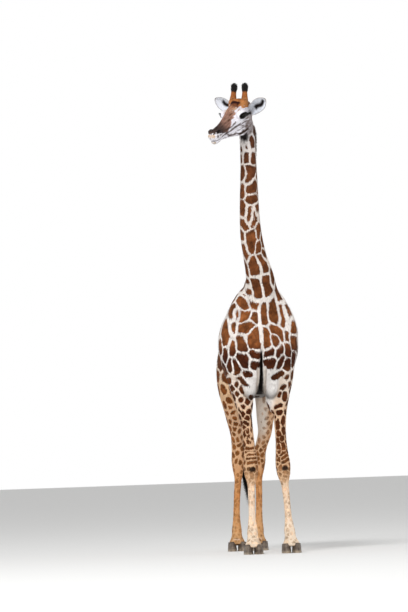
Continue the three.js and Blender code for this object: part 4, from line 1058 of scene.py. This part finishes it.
def tufts(
    name, root, rise, lie, length, width, bend, at, values, material, rings=2, sunk=0.12,
):
    """Makes the piece. Places and ways are in the animal's frame; at is each root's place on the map."""
    n = len(root)
    rise, lie = unit(rise), unit(lie)
    across = unit(np.cross(rise, lie) + 1e-6)
    full = np.interp(np.arange(rings) / rings, (0, 0.35, 0.7, 1), (0.8, 1, 0.7, 0))
    flatness, map_width = 0.4, 0.0026  # how thick a blade is for its width, and its size on the map
    length, width, bend = (np.broadcast_to(v, n).astype(float) for v in (length, width, bend))
    places = np.empty((n, rings * 3 + 1, 3), np.float32)
    for r in range(rings + 1):
        s = r / rings
        p = root + rise * (length * (s * (1 - bend * s / 2) - sunk * (1 - s)))[:, None]
        p = p + lie * (length * bend * s * s)[:, None]
        if r == rings:
            places[:, -1] = p
            break
        way = unit(rise * (1 - bend * s)[:, None] + lie * (2 * bend * s)[:, None])
        face = np.cross(way, across)
        half = (width / 2 * full[r])[:, None]
        for c, (aside, deep) in enumerate(((1, 0), (-0.5, 0.87), (-0.5, -0.87))):
            places[:, r * 3 + c] = p + (across * aside + face * deep * flatness) * half
    places += np.array(home, np.float32)
    last, block = (rings - 1) * 3, rings * 3 + 1
    quads = [
        (k + c, k + (c + 1) % 3, k + 3 + (c + 1) % 3, k + 3 + c) for k in range(0, last, 3) for c in range(3)
    ]
    points = [(last + c, last + (c + 1) % 3, rings * 3) for c in range(3)] + [(2, 1, 0)]
    base = (np.arange(n) * block)[:, None, None]
    corners = np.concatenate([(base + np.array(faces)).ravel() for faces in (quads, points)])
    sizes = np.repeat((4, 3), (n * len(quads), n * len(points)))
    mesh = bpy.data.meshes.new(name)
    mesh.vertices.add(n * block)
    mesh.vertices.foreach_set("co", places.ravel())
    mesh.loops.add(len(corners))
    mesh.loops.foreach_set("vertex_index", corners.astype(np.int32))
    mesh.polygons.add(len(sizes))
    mesh.polygons.foreach_set("loop_start", np.r_[0, np.cumsum(sizes)[:-1]].astype(np.int32))
    mesh.update(calc_edges=True)
    mesh.shade_smooth()
    step = [
        (map_width * (c / 2 - 0.5), map_width * (r / rings - 0.5)) for r in range(rings) for c in range(3)
    ]
    spread = (at[:, None] + np.array(step + [(0, map_width / 2)])).reshape(-1, 2)[corners]
    mesh.uv_layers.new(name="OFBake").data.foreach_set("uv", spread.astype(np.float32).ravel())
    painted_on(mesh, **{key: np.repeat(value, block, 0) for key, value in values.items()})
    piece = piece_of(name, mesh, material)
    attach(piece, "root")
    return piece


def hair_material(name, gloss):
    """Hair in its own stored colour, with a fine strand along its length."""
    made = bpy.data.materials.new(name)
    made.use_nodes = True
    tree = made.node_tree
    shader = tree.nodes["Principled BSDF"]
    base = add(tree, "ShaderNodeAttribute", attribute_name="ground")
    where = add(tree, "ShaderNodeTexCoord")
    lie = add(tree, "ShaderNodeMapping", [("Vector", (where, "Object"))], _3=(1.0, 1.0, 0.12))
    strand = add(tree, "ShaderNodeTexNoise", [("Vector", (lie, 0))], _2=420.0, _3=2.0)
    depth = add(tree, "ShaderNodeMapRange", [(0, (strand, "Fac"))], _1=0.3, _2=0.7, _3=0.65, _4=1.3)
    streaked = add(
        tree, "ShaderNodeVectorMath", [(0, (base, "Color")), ("Scale", (depth, 0))], operation="SCALE",
    )
    tree.links.new(streaked.outputs[0], shader.inputs["Base Color"])
    bump = add(tree, "ShaderNodeBump", [("Height", (strand, "Fac"))], _0=0.5, _1=0.002)
    tree.links.new(bump.outputs[0], shader.inputs["Normal"])
    shader.inputs["Roughness"].default_value = gloss
    shader.inputs["Specular IOR Level"].default_value = 0.3
    return made


# Long hair, mane, horn tufts and tail: coarse, brown to black, glossy along its length.
coarse_hair = hair_material("coarse giraffe hair", 0.5)

# ---- Coat
# Short hair over the whole hide, under 2 cm on the trunk and a few millimetres on face and feet.
# It lies down the neck and the legs and back along the flanks; each tuft is a pinch of hairs in
# the colour of the skin that it grows from. Lids, lips and nostrils are bare.
skin_mesh.calc_loop_triangles()
tri = np.empty(len(skin_mesh.loop_triangles) * 3, np.int32)
skin_mesh.loop_triangles.foreach_get("vertices", tri)
tri = tri.reshape(-1, 3)
corner_at = at_home[tri]
along_edge, along_other = corner_at[:, 1] - corner_at[:, 0], corner_at[:, 2] - corner_at[:, 0]
area = np.linalg.norm(np.cross(along_edge, along_other), axis=1)
part = chart_of(corner_at.mean(1))
leftward = corner_at[:, :, 0].mean(1) > 0
out_way = np.empty(len(at_home) * 3, np.float32)
skin_mesh.vertices.foreach_get("normal", out_way)
out_way = out_way.reshape(-1, 3)
rest = (part == "trunk") | (part == "tail")
for name, here, count, length, width in (
    ("coat_head", part == "head", 19400, 0.0070, 0.0018),
    ("coat_neck", part == "neck", 18500, 0.0125, 0.0036),
    ("coat_flank_left", rest & leftward, 18500, 0.018, 0.0052),
    ("coat_flank_right", rest & ~leftward, 18500, 0.018, 0.0052),
    ("coat_forelegs", np.char.startswith(part, "foreleg"), 16000, 0.0115, 0.0034),
    ("coat_hindlegs", np.char.startswith(part, "hindleg"), 16000, 0.0125, 0.0036),
):
    pick = draw.choice(np.flatnonzero(here), count, p=area[here] / area[here].sum())
    share_of = draw.dirichlet((1, 1, 1), count)

    def at_root(values):
        """A skin value at each root, from the three vertices round it."""
        return (values[tri[pick]] * share_of.reshape(count, 3, *[1] * (values.ndim - 1))).sum(1)

    root, rise = at_root(at_home), unit(at_root(out_way))
    ahead_of = in_head(root)
    keep = root[:, 2] > 0.088
    for hand in (1, -1):
        keep &= np.linalg.norm(ahead_of - (hand * 114, -204, 32), axis=1) > 37
        keep &= np.linalg.norm(ahead_of - (hand * 45, -566, 10), axis=1) > 22
    from_mouth = np.abs(ahead_of[:, 2] - mouth_at(-ahead_of[:, 1]))
    keep &= (ahead_of[:, 1] > -420) | (from_mouth > 7) | (root[:, 2] < 3.4)
    pick, share_of = pick[keep], share_of[keep]
    count = len(pick)
    root, rise, ahead_of = root[keep], rise[keep], ahead_of[keep]
    flank = fade(root[:, 1], -0.75, -0.3) * fade(root[:, 2], 1.35, 1.6) * (1 - fade(root[:, 2], 2.4, 2.75))
    way = np.array((0, 0.12, -1)) + flank[:, None] * (0, 0.85, 0.45)
    if name == "coat_head":
        cheek = 1 - fade(ahead_of[:, 2], -60, 40)
        way = (np.stack([0 * cheek, 0 * cheek + 1, -0.35 * cheek], 1)) @ head_turn.T
    way = way + draw.normal(0, 0.10, (count, 3)) + 0.12 * np.sin(root @ draw.normal(0, 9, (3, 3)))
    way = unit(way - rise * (way * rise).sum(1)[:, None])
    near = np.sort(at_root(apart), axis=1)
    inside = np.minimum((near[:, 1] - near[:, 0]) / 2, at_root(limit) - near[:, 0]) - at_root(bare)
    shade = draw.uniform(0.84, 1.12, count)[:, None]
    size = length * draw.uniform(0.7, 1.15, count) * np.interp(root[:, 2], (0.1, 0.5, 1.2), (0.75, 0.85, 1))
    if name == "coat_head":
        size *= np.interp(ahead_of[:, 1], (-600, -450, -150, -60), (0.5, 0.75, 1, 1.35))
    on = np.empty((count, 2))
    of_part = chart_of(root)
    for chart in charts:
        on[of_part == chart] = on_map(root[of_part == chart], chart)
    values = {"ground": at_root(ground) * shade, "patch": at_root(patch) * shade, "mark": inside}
    tufts(
        name, root, rise * 0.22 + way, way - rise * 0.15, size, width * draw.uniform(0.75, 1.2, count), 0.55,
        on, values, short_coat, sunk=0.2,
    )

# ---- Mane
# A short upright brush of stiff brown hair, from the nape down the crest of the neck to the
# withers, rooted in a strip about 4 cm wide and leaning a little down the neck.
rows = stations(neck_rows, 6)
centre, along, side, top = frames_of(rows)
crest_rows = (centre + top * rows[:, 4:5])[(rows[:, 2] > 2700) & (rows[:, 2] < 3935)]
ridge = np.vstack([[(4, -462, 2668), (10, -530, 2664)], crest_rows]) / 1000
steps = np.r_[0, np.cumsum(np.linalg.norm(np.diff(ridge, axis=0), axis=1))]
count = 6400
t = draw.random(count)
way = unit(np.gradient(ridge, steps, axis=0))
crest = np.stack([np.interp(t * steps[-1], steps, ridge[:, k]) for k in range(3)], 1)
run = unit(np.stack([np.interp(t * steps[-1], steps, way[:, k]) for k in range(3)], 1))
turn = np.radians(-39 * t * t)
aside = np.stack([np.cos(turn), np.sin(turn), 0 * turn], 1)
aside = unit(aside - run * (aside * run).sum(1)[:, None])
out = np.cross(run, aside)
offset = draw.uniform(-1, 1, count)
root = crest + aside * (offset * 0.019)[:, None] - out * (0.006 + 0.006 * offset**2)[:, None]
tall = 0.086 * draw.uniform(0.82, 1.06, count) * np.minimum(1, np.minimum(0.04 + 5 * t, 8 - 7.4 * t))
tall = tall * (1 - 0.25 * offset**2)
shade = draw.uniform(0.55, 1.25, count)[:, None]
shade = shade * np.where((draw.random(count) < 0.5)[:, None], linear("58351f"), linear("38200f"))
rise = out + aside * (offset * 0.18)[:, None] + run * draw.normal(0, 0.05, count)[:, None]
tufts(
    "mane", root, rise, -run, tall, 0.0064, draw.uniform(0.15, 0.42, count), on_map(root, "neck"),
    {"ground": shade}, coarse_hair, rings=3,
)

# ---- Horns
# Blunt ossicones: bone under living skin, short red-brown hair up the stem, and a cow's thick
# black tuft of stiff hair standing round each tip.
horn_radii = np.array([37, 36, 31, 26, 24, 24, 24, 18, 6]) - 0.5
horn_places = np.array([0, 0.14, 0.3, 0.48, 0.64, 0.78, 0.89, 0.97, 1])
horn_length, bone_share = 192, 0.93  # with its tuft, in millimetres, and how much of it is bone
lean_out, lean_back = math.radians(-2.2), math.radians(27)
stem_pale, stem_red = linear("c08b57"), linear("a3612f")
for hand, name in ((1, "left"), (-1, "right")):
    way = np.array((hand * math.sin(lean_out), math.sin(lean_back), math.cos(lean_back)))
    way /= np.linalg.norm(way)
    foot = np.array((60 if hand > 0 else -69, -82, 84.0))
    stem = bmesh.new()
    stem_rows = []
    for t, r in zip(horn_places, horn_radii):
        stem_rows.append((*(foot + way * horn_length * t * bone_share), r, r, r))
    loft(stem, stem_rows, 32, 4, coat=0)
    bmesh.ops.recalc_face_normals(stem, faces=stem.faces)
    bmesh.ops.transform(stem, matrix=Matrix.Translation(home) @ head_place, verts=stem.verts)
    mesh = as_mesh(stem, "horn_" + name)
    spot = in_head(np.array([v.co[:] for v in mesh.vertices]) - np.array(home))
    level = ((spot - foot) @ way / horn_length)[:, None]
    colour = stem_pale + (stem_red - stem_pale) * fade(level, 0.12, 0.42)
    colour = colour + (linear("140e0d") - colour) * fade(level, 0.56, 0.70)
    painted_on(mesh, ground=colour, patch=colour, mark=np.full(len(colour), -0.1))
    horn = piece_of("horn_" + name, mesh, short_coat)
    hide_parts("ossicone_" + name)
    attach(horn, "root")
    across = np.cross(way, (0, 1, 0))
    across /= np.linalg.norm(across)
    ahead = np.cross(way, across)
    for part, count in (("stem", 1500), ("tuft", 620)):
        t = draw.uniform(0.12, 0.70, count) if part == "stem" else 0.60 + 0.37 * draw.random(count) ** 0.8
        a = draw.uniform(0, 2 * np.pi, count)
        out = across * np.cos(a)[:, None] + ahead * np.sin(a)[:, None]
        radius = np.interp(t / bone_share, horn_places, horn_radii)
        root = foot + way * (horn_length * t)[:, None] + out * (radius - 1)[:, None]
        if part == "stem":
            rise, length, width, bend, rings = way + out * 0.25, draw.uniform(9, 15, count), 2.6, 0.2, 2
            dark = fade(t + draw.normal(0, 0.03, count), 0.56, 0.70)
            colour = stem_pale + (stem_red - stem_pale) * fade(t, 0.12, 0.42)[:, None]
            colour = colour * draw.uniform(0.7, 1.25, count)[:, None]
            tint(colour, "120d0c", dark)
        else:
            rise = way + out * draw.uniform(0.12, 0.5, count)[:, None] + draw.normal(0, 0.06, (count, 3))
            length = np.minimum(draw.uniform(0.14, 0.24, count), 1.00 - t + draw.uniform(0.01, 0.11, count))
            length, width, bend, rings = horn_length * length, 4.2, draw.uniform(0.05, 0.3, count), 3
            colour = linear("15100f") * draw.uniform(0.5, 1.8, count)[:, None]
        on = np.stack([0.2 + 0.6 * a / (2 * np.pi), t], 1)
        tufts(
            f"horn_{part}_{name}", out_of_head(root), rise @ head_turn.T, -out @ head_turn.T, length / 1000,
            width / 1000, bend, on, {"ground": colour}, coarse_hair, rings=rings,
        )

# ---- Ears
# Leaf-shaped, rolled into a cup at the root: thin gristle under white-haired skin, with dark
# hair inside that shows as a broken bar, and a fringe along both edges.
# For the left and right ear: its lift in degrees, how far ahead it points, how far its cup turns.
ear_set = {1: (33, 0.18, 0.3), -1: (46, 0.37, -0.25)}
ear_root, ear_length, ear_half = np.array((95, -36, 10)), 235, 58.5  # millimetres
leaf_places = (0, 0.12, 0.25, 0.4, 0.55, 0.68, 0.8, 0.9, 0.96, 1)
leaf_widths = (0.42, 0.55, 0.74, 0.92, 1, 0.97, 0.80, 0.54, 0.32, 0.05)
leaf_rolls = (122, 106, 90, 70, 58, 56, 56, 56, 56, 56)
pale_in, dark_in, tan_out = linear("e6e9f0"), linear("170d0b"), linear("a8968a")
for hand, name in ((1, "left"), (-1, "right")):
    lift, ahead, face_way = ear_set[hand]
    axis = np.array((math.cos(math.radians(lift)), -ahead, math.sin(math.radians(lift))))
    axis /= np.linalg.norm(axis)
    opening = np.array((face_way, -0.92, 0.1))
    opening = opening - axis * (opening @ axis)
    opening /= np.linalg.norm(opening)
    wide = np.cross(axis, opening)

    def ear_at(t, across):
        """The middle of the ear's wall at a place along it and across it (-1 to 1)."""
        half = ear_half * np.interp(t, leaf_places, leaf_widths)
        roll = np.radians(np.interp(t, leaf_places, leaf_rolls))
        radius = half / np.sin(np.minimum(roll, np.pi / 2))
        a = roll * across
        middle = ear_root + axis * (ear_length * (t - 0.1))[..., None]
        middle = middle + opening * (radius * 0.6 - 26 * t * t)[..., None]
        return middle + wide * (radius * np.sin(a))[..., None] - opening * (radius * np.cos(a))[..., None]

    def wall_at(t, across):
        """The ways along the ear and into its cup, at places on its wall."""
        run = unit(ear_at(np.minimum(t + 0.03, 1), across) - ear_at(t - 0.03, across))
        into = unit(np.cross(ear_at(t, across + 0.05) - ear_at(t, across - 0.05), run))
        return run, into * np.sign(into @ opening)[:, None]

    def bar_at(t, across):
        """How dark the hair inside the ear is."""
        if hand > 0:
            middle, first, last = 0.10 + 0.12 * np.sin(t * 13), 0.26, 0.84
        else:
            middle, first, last = -0.30 - 0.25 * np.sin(t * 9), 0.10, 0.70
        ends = fade(t, first - 0.04, first + 0.04) * (1 - fade(t, last - 0.06, last + 0.06))
        return np.exp(-(((across - middle) / 0.32) ** 4)) * ends

    leaf = bmesh.new()
    cols, lines = 26, 40
    grid = bmesh.ops.create_grid(leaf, x_segments=cols, y_segments=lines, size=1)["verts"]
    u = np.tile(np.linspace(-1, 1, cols + 1), lines + 1)
    t = np.repeat(np.linspace(0, 1, lines + 1), cols + 1)
    spots_on = ear_at(t, u) * (hand, 1, 1)
    for v, co in zip(grid, spots_on):
        v.co = Vector(co) / 1000
    leaf.normal_update()
    bmesh.ops.solidify(leaf, geom=leaf.faces[:], thickness=0.005)
    bmesh.ops.recalc_face_normals(leaf, faces=leaf.faces)
    here = np.array([v.co[:] for v in leaf.verts]) * 1000
    nearest = np.array([np.argmin(((spots_on - p) ** 2).sum(1)) for p in here])
    along, across = t[nearest], u[nearest]
    depth = ((here - spots_on[nearest]) * wall_at(along, across)[1] * (hand, 1, 1)).sum(1)
    copied = np.arange(len(here)) >= len(grid)  # the second skin that solidify adds
    inside_leaf = copied == (depth[copied].mean() > 0)
    bmesh.ops.transform(leaf, matrix=Matrix.Translation(home) @ head_place, verts=leaf.verts)
    mesh = as_mesh(leaf, "ear_" + name)
    inside = inside_leaf[:, None].astype(float)
    colour = tan_out + (pale_in - tan_out) * inside
    colour = colour + (dark_in - colour) * (bar_at(along, across)[:, None] * inside)
    edge_dark = fade(np.abs(across), 0.9, 1.0) * 0.25 + fade(along, 0.93, 1.0) * 0.35
    tint(colour, "6b5648", np.clip(edge_dark, 0, 1))
    back_mark = 0.02 * np.sin(along * 21) * np.cos(across * 5 + 1) - 0.004
    back_brown = linear("86664c")[None].repeat(len(colour), 0)
    painted_on(mesh, ground=colour, patch=back_brown, mark=np.where(inside_leaf, -0.1, back_mark))
    ear = piece_of("ear_" + name, mesh, short_coat)
    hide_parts("ear_" + name)
    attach(ear, "root")
    within, fringe = 380, 520  # tufts inside the cup, and along its edges
    count = within + fringe
    t = np.r_[draw.uniform(0.08, 0.55, within), draw.uniform(0.05, 0.99, fringe)]
    across = draw.uniform(-0.95, 0.95, within)
    across = np.r_[across, np.sign(draw.normal(0, 1, fringe)) * draw.uniform(0.93, 1, fringe)]
    root = ear_at(t, across)
    ahead_of, up_in = wall_at(t, across)
    on_edge = np.arange(count) >= within
    outward = unit(ear_at(t, across) - ear_at(t, across * 0.9))
    rise = np.where(on_edge[:, None], outward * 0.55 + ahead_of * 0.8, up_in * 0.45 + ahead_of * 0.9)
    rise = rise + draw.normal(0, 0.12, (count, 3))
    colour = linear("eceef2") * draw.uniform(0.8, 1.08, count)[:, None]
    colour += (dark_in - colour) * (bar_at(t, across) > 0.4)[:, None]
    flip = np.array((hand, 1, 1))
    tufts(
        "ear_hair_" + name, out_of_head(root * flip), (rise * flip) @ head_turn.T,
        (up_in * flip) @ head_turn.T, np.where(on_edge, 0.010, 0.015) * draw.uniform(0.7, 1.2, count), 0.0022,
        0.2, np.stack([0.5 + 0.4 * across, 0.05 + 0.9 * t], 1), {"ground": colour}, coarse_hair,
    )

# ---- Eyes
# Large dark globes set in the sides of the head, nearly all iris, with a wide level pupil, a wet
# clear front, black bare rims to the lids, and long stiff lashes over them.
globe_radius = 0.0258
# Black-brown iris with fine fibres under the clear wet front of the eye.
wet_eye = bpy.data.materials.new("wet eye")
wet_eye.use_nodes = True
tree = wet_eye.node_tree
shader = tree.nodes["Principled BSDF"]
iris_colour = add(tree, "ShaderNodeAttribute", attribute_name="ground")
where = add(tree, "ShaderNodeTexCoord")
fibres = add(tree, "ShaderNodeTexNoise", [("Vector", (where, "Object"))], _2=900.0, _3=3.0)
depth = add(tree, "ShaderNodeMapRange", [(0, (fibres, "Fac"))], _1=0.3, _2=0.7, _3=0.6, _4=1.4)
fleck = add(
    tree, "ShaderNodeVectorMath", [(0, (iris_colour, "Color")), ("Scale", (depth, 0))], operation="SCALE",
)
tree.links.new(fleck.outputs[0], shader.inputs["Base Color"])
for socket, value in (("Roughness", 0.18), ("IOR", 1.27), ("Coat Weight", 0.08), ("Coat Roughness", 0.03)):
    shader.inputs[socket].default_value = value
# The black hairless skin along the lids.
lid_skin = hair_material("bare lid skin", 0.4)
for hand, name in ((1, "left"), (-1, "right")):
    ahead, high, out = eye_axes(hand)
    middle = Vector((hand * eye_at.x, eye_at.y, eye_at.z))
    facing = Matrix((ahead, high, out)).transposed().to_4x4()
    socket_place = Matrix.Translation(home) @ head_place @ Matrix.Translation(middle) @ facing
    globe = bmesh.new()
    bmesh.ops.create_uvsphere(globe, u_segments=48, v_segments=32, radius=globe_radius)
    across, tall = np.array([v.co[:2] for v in globe.verts]).T * 1000
    for v in globe.verts:  # the cornea stands a little proud of the globe
        v.co *= 1 + 0.035 * max(0, v.co.z / globe_radius) ** 6
    bmesh.ops.transform(globe, matrix=socket_place, verts=globe.verts)
    bmesh.ops.recalc_face_normals(globe, faces=globe.faces)
    mesh = as_mesh(globe, "eye_" + name)
    pupil = 1 - fade(np.hypot(across / 1.7, tall), 5.0, 6.5)
    colour = np.repeat(linear("1a0d07")[None], len(across), 0)
    tint(colour, "080403", fade(np.hypot(across, tall), 10, 17))
    tint(colour, "020202", pupil)
    painted_on(mesh, ground=colour)
    eye = piece_of("eye_" + name, mesh, wet_eye)
    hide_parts("eye_" + name)
    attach(eye, "root")
    # The bare black rim of the lids, a soft roll round the opening.
    sides, turns = 8, 56
    phi = np.linspace(0, 2 * np.pi, turns + 1)
    power = 2 / slit_power
    a = slit_half * np.sign(np.cos(phi)) * np.abs(np.cos(phi)) ** power
    b = np.where(np.sin(phi) > 0, slit_up, slit_down) * np.sign(np.sin(phi)) * np.abs(np.sin(phi)) ** power
    a = a - slit_tilt * b
    c = np.sqrt(np.maximum(eye_ball**2 - a**2 - b**2, 30)) + 2.4
    line_at = np.stack([a, b, c], 1)
    band = bmesh.new()
    grid = bmesh.ops.create_grid(band, x_segments=sides, y_segments=turns, size=1)["verts"]
    for i in range(turns + 1):
        outward = unit(line_at[i] * (1, 1, 0))
        for k in range(sides + 1):
            w = 2 * np.pi * k / sides
            co = line_at[i] + outward * (1.9 * math.cos(w) + 1.0) + np.array((0, 0, 1)) * 1.7 * math.sin(w)
            grid[i * (sides + 1) + k].co = Vector(co) / 1000
    bmesh.ops.remove_doubles(band, verts=grid, dist=2e-5)
    bmesh.ops.transform(band, matrix=socket_place, verts=band.verts)
    bmesh.ops.recalc_face_normals(band, faces=band.faces)
    mesh = as_mesh(band, "lid_rim_" + name)
    painted_on(mesh, ground=linear("15100e")[None].repeat(len(mesh.vertices), 0))
    rim = piece_of("lid_rim_" + name, mesh, lid_skin)
    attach(rim, "root")
    count = 90
    pick = draw.uniform(0.06, 0.44, count)
    base = np.stack([np.interp(pick, phi / (2 * np.pi), line_at[:, k]) for k in range(3)], 1)
    outward = unit(base * (1, 1, 0))
    basis = np.stack([ahead, high, out])
    root = (base + outward * 3 + (0, 0, 1)) @ basis + np.array(middle) * 1000
    rise = (np.array((0, 0, 1.0)) + outward * 0.35 + (0, -0.25, 0) + draw.normal(0, 0.08, (count, 3))) @ basis
    lie = np.array([[0, 0.6, 0.1]]).repeat(count, 0) @ basis
    tufts(
        "lashes_" + name, out_of_head(root), rise @ head_turn.T, lie @ head_turn.T,
        draw.uniform(0.013, 0.021, count), 0.0012, 0.35, np.stack([pick * 2, 0 * pick + 0.5], 1),
        {"ground": linear("0c0908")[None].repeat(count, 0)}, coarse_hair, rings=3,
    )

# ---- Tail switch
# Long black hair from the lower half of the dock, coarse and heavy, hanging together to a loose
# point above the fetlocks.
rows = stations(dock_rows, 6)
centre, along, side, top = frames_of(rows)
count = 3200
down = draw.random(count)
pick = (0.52 + 0.46 * down) * (len(rows) - 1)
low = pick.astype(int)
a = draw.uniform(0, 2 * np.pi, count)
out = side[low] * np.cos(a)[:, None] + top[low] * np.sin(a)[:, None]
root = (centre[low] + out * (rows[low, 3] * 0.5)[:, None]) / 1000
length = (0.46 + 0.15 * down) * (1 - 0.5 * draw.random(count) ** 2.6)
length = np.minimum(length, (root[:, 2] - 0.400) / 0.985)
colour = linear("0d0a08") * draw.uniform(0.4, 1.6, count)[:, None]
hang = along[low] + down[:, None] * (0.07, 0, 0) + out * draw.uniform(-0.01, 0.03, count)[:, None]
tufts(
    "tail_switch", root, hang + draw.normal(0, 0.014, (count, 3)), np.array([[1.0, 0, 0]]).repeat(count, 0),
    length, draw.uniform(0.006, 0.010, count), draw.uniform(0.0, 0.06, count), on_map(root, "tail"),
    {"ground": colour}, coarse_hair, rings=6,
)
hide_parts("tail")

# ---- Hooves
# Two horny claws on each foot: flat soled, the front wall sloping, dusty grey-brown with growth
# rings and a worn, paler edge along the ground.
horn_wall = bpy.data.materials.new("dusty hoof horn")
horn_wall.use_nodes = True
tree = horn_wall.node_tree
shader = tree.nodes["Principled BSDF"]
where = add(tree, "ShaderNodeTexCoord")
place_of = add(tree, "ShaderNodeSeparateXYZ", [(0, (where, "Object"))])
ring_lie = add(tree, "ShaderNodeMapping", [("Vector", (where, "Object"))], _3=(0.12, 0.12, 1.0))
rings = add(tree, "ShaderNodeTexNoise", [("Vector", (ring_lie, 0))], _2=230.0, _3=3.0, _4=0.6)
streak_lie = add(tree, "ShaderNodeMapping", [("Vector", (where, "Object"))], _3=(1.0, 1.0, 0.1))
streaks = add(tree, "ShaderNodeTexNoise", [("Vector", (streak_lie, 0))], _2=240.0, _3=3.0, _4=0.6)
dust = add(tree, "ShaderNodeTexNoise", [("Vector", (where, "Object"))], _2=26.0, _3=4.0)
worn = add(tree, "ShaderNodeMapRange", [(0, (place_of, "Z"))], _1=0.0, _2=0.03, _3=1.0, _4=0.0)
dusty = add(tree, "ShaderNodeMath", [(0, (worn, 0)), (1, (dust, "Fac"))], operation="MULTIPLY_ADD", _1=0.6)
tree.links.new(dust.outputs["Fac"], dusty.inputs[2])
pale_edge = add(tree, "ShaderNodeMapRange", [(0, (dusty, 0))], _1=0.42, _2=1.0)
tone = add(tree, "ShaderNodeMix", [("Factor", (pale_edge, 0))], data_type="RGBA")
tone.inputs[6].default_value = (*linear("4d4036"), 1)
tone.inputs[7].default_value = (*linear("9c8c78"), 1)
depth = add(tree, "ShaderNodeMapRange", [(0, (streaks, "Fac"))], _1=0.3, _2=0.7, _3=0.72, _4=1.2)
wall = add(tree, "ShaderNodeVectorMath", [(0, (tone, 2)), ("Scale", (depth, 0))], operation="SCALE")
tree.links.new(wall.outputs[0], shader.inputs["Base Color"])
bump = add(tree, "ShaderNodeBump", [("Height", (rings, "Fac"))], _0=0.6, _1=0.003)
tree.links.new(bump.outputs[0], shader.inputs["Normal"])
shader.inputs["Roughness"].default_value = 0.55


def squarish(v):
    """Makes a circle's sine or cosine that of a rounded square."""
    return np.sign(v) * np.abs(v) ** 0.78


# Millimetres: half the width, the toe's and the heel's reach at the sole and at the top, the height.
claw_half, toe_sole, toe_top, heel_sole, heel_top, claw_high = 44, 120, 66, 98 * 0.92, 80, 84
levels = (0, 0.06, 0.14, 0.28, 0.42, 0.57, 0.72, 0.86, 1.0)
sides = 40
a = 2 * np.pi * np.arange(sides + 1) / sides
c, s = np.cos(a), np.sin(a)
for leg, (table, _) in stance.items():
    part, hand = leg.split("_")
    for which in (-1, 1):
        middle_x = leg_x(leg, 0) + which * (claw_half + 4.5)
        foot_y = table[-1][1]
        claw = bmesh.new()
        grid = bmesh.ops.create_grid(claw, x_segments=sides, y_segments=len(levels) - 1, size=1)["verts"]
        for i, t in enumerate(levels):
            ripple = 0.8 * math.sin(i * 2.4) if 0 < i < len(levels) - 1 else 0
            tuck = 1.2 if i == 0 else 0
            half = claw_half + (claw_half * 0.86 - claw_half) * t - tuck + ripple
            front = toe_sole + (toe_top - toe_sole) * t**0.9 - tuck + ripple
            behind = heel_sole + (heel_top - heel_sole) * t - tuck + ripple
            toe = np.where(s > 0, 1 - 0.3 * s**2, 1) * np.where(c * which < 0, 1, 0.98)
            x = middle_x + half * squarish(c) * toe
            y = foot_y - np.where(s > 0, front, behind) * squarish(s)
            z = claw_high * t + np.where(s > 0, 7 * t * s, 0)
            for k in range(sides + 1):
                grid[i * (sides + 1) + k].co = Vector((x[k], y[k], z[k])) / 1000
        bmesh.ops.remove_doubles(claw, verts=grid, dist=1e-5)
        bmesh.ops.holes_fill(claw, edges=[e for e in claw.edges if e.is_boundary], sides=0)
        bmesh.ops.recalc_face_normals(claw, faces=claw.faces)
        bmesh.ops.translate(claw, verts=claw.verts, vec=home)
        node = f"hoof_{part}_{hand}_{'outer' if (which > 0) == (hand == 'left') else 'inner'}"
        hoof = piece_of("claw_" + node[5:], as_mesh(claw, node), horn_wall)
        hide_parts(node)
        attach(hoof, "root")

# ---- Floor and light
# A pale studio floor, and soft light from high on the left with a weak fill from the right.
ground_plane = bmesh.new()
bmesh.ops.create_grid(ground_plane, x_segments=2, y_segments=2, size=90)
floor_mesh = bpy.data.meshes.new("floor")
ground_plane.to_mesh(floor_mesh)
floor = bpy.data.objects.new("floor", floor_mesh)
bpy.context.scene.collection.objects.link(floor)
pale = bpy.data.materials.new("pale studio floor")
pale.use_nodes = True
pale.node_tree.nodes["Principled BSDF"].inputs["Base Color"].default_value = (0.86, 0.86, 0.85, 1)
pale.node_tree.nodes["Principled BSDF"].inputs["Roughness"].default_value = 0.9
floor_mesh.materials.append(pale)
world = bpy.data.worlds.new("studio")
world.use_nodes = True
sky_way = add(world.node_tree, "ShaderNodeTexCoord")
sky_up = add(world.node_tree, "ShaderNodeSeparateXYZ", [(0, (sky_way, "Generated"))])
sky = add(world.node_tree, "ShaderNodeMapRange", [(0, (sky_up, "Z"))], interpolation_type="SMOOTHSTEP",
          _1=0.25, _2=0.75, _3=1.0, _4=0.45)
world.node_tree.links.new(sky.outputs[0], world.node_tree.nodes["Background"].inputs[1])
world.node_tree.nodes["Background"].inputs[0].default_value = (1, 1, 1, 1)
bpy.context.scene.world = world
bpy.context.scene.view_settings.view_transform = "Standard"
for name, at, size, power in (("key", (-6, -13, 15), 5, 2050), ("fill", (12, -9, 6), 8, 210)):
    lamp = bpy.data.lights.new(name, "AREA")
    lamp.size, lamp.energy = size, power
    holder = bpy.data.objects.new(name, lamp)
    holder.location = at
    holder.rotation_euler = (Vector((0, 0, 2)) - Vector(at)).to_track_quat("-Z", "Y").to_euler()
    bpy.context.scene.collection.objects.link(holder)
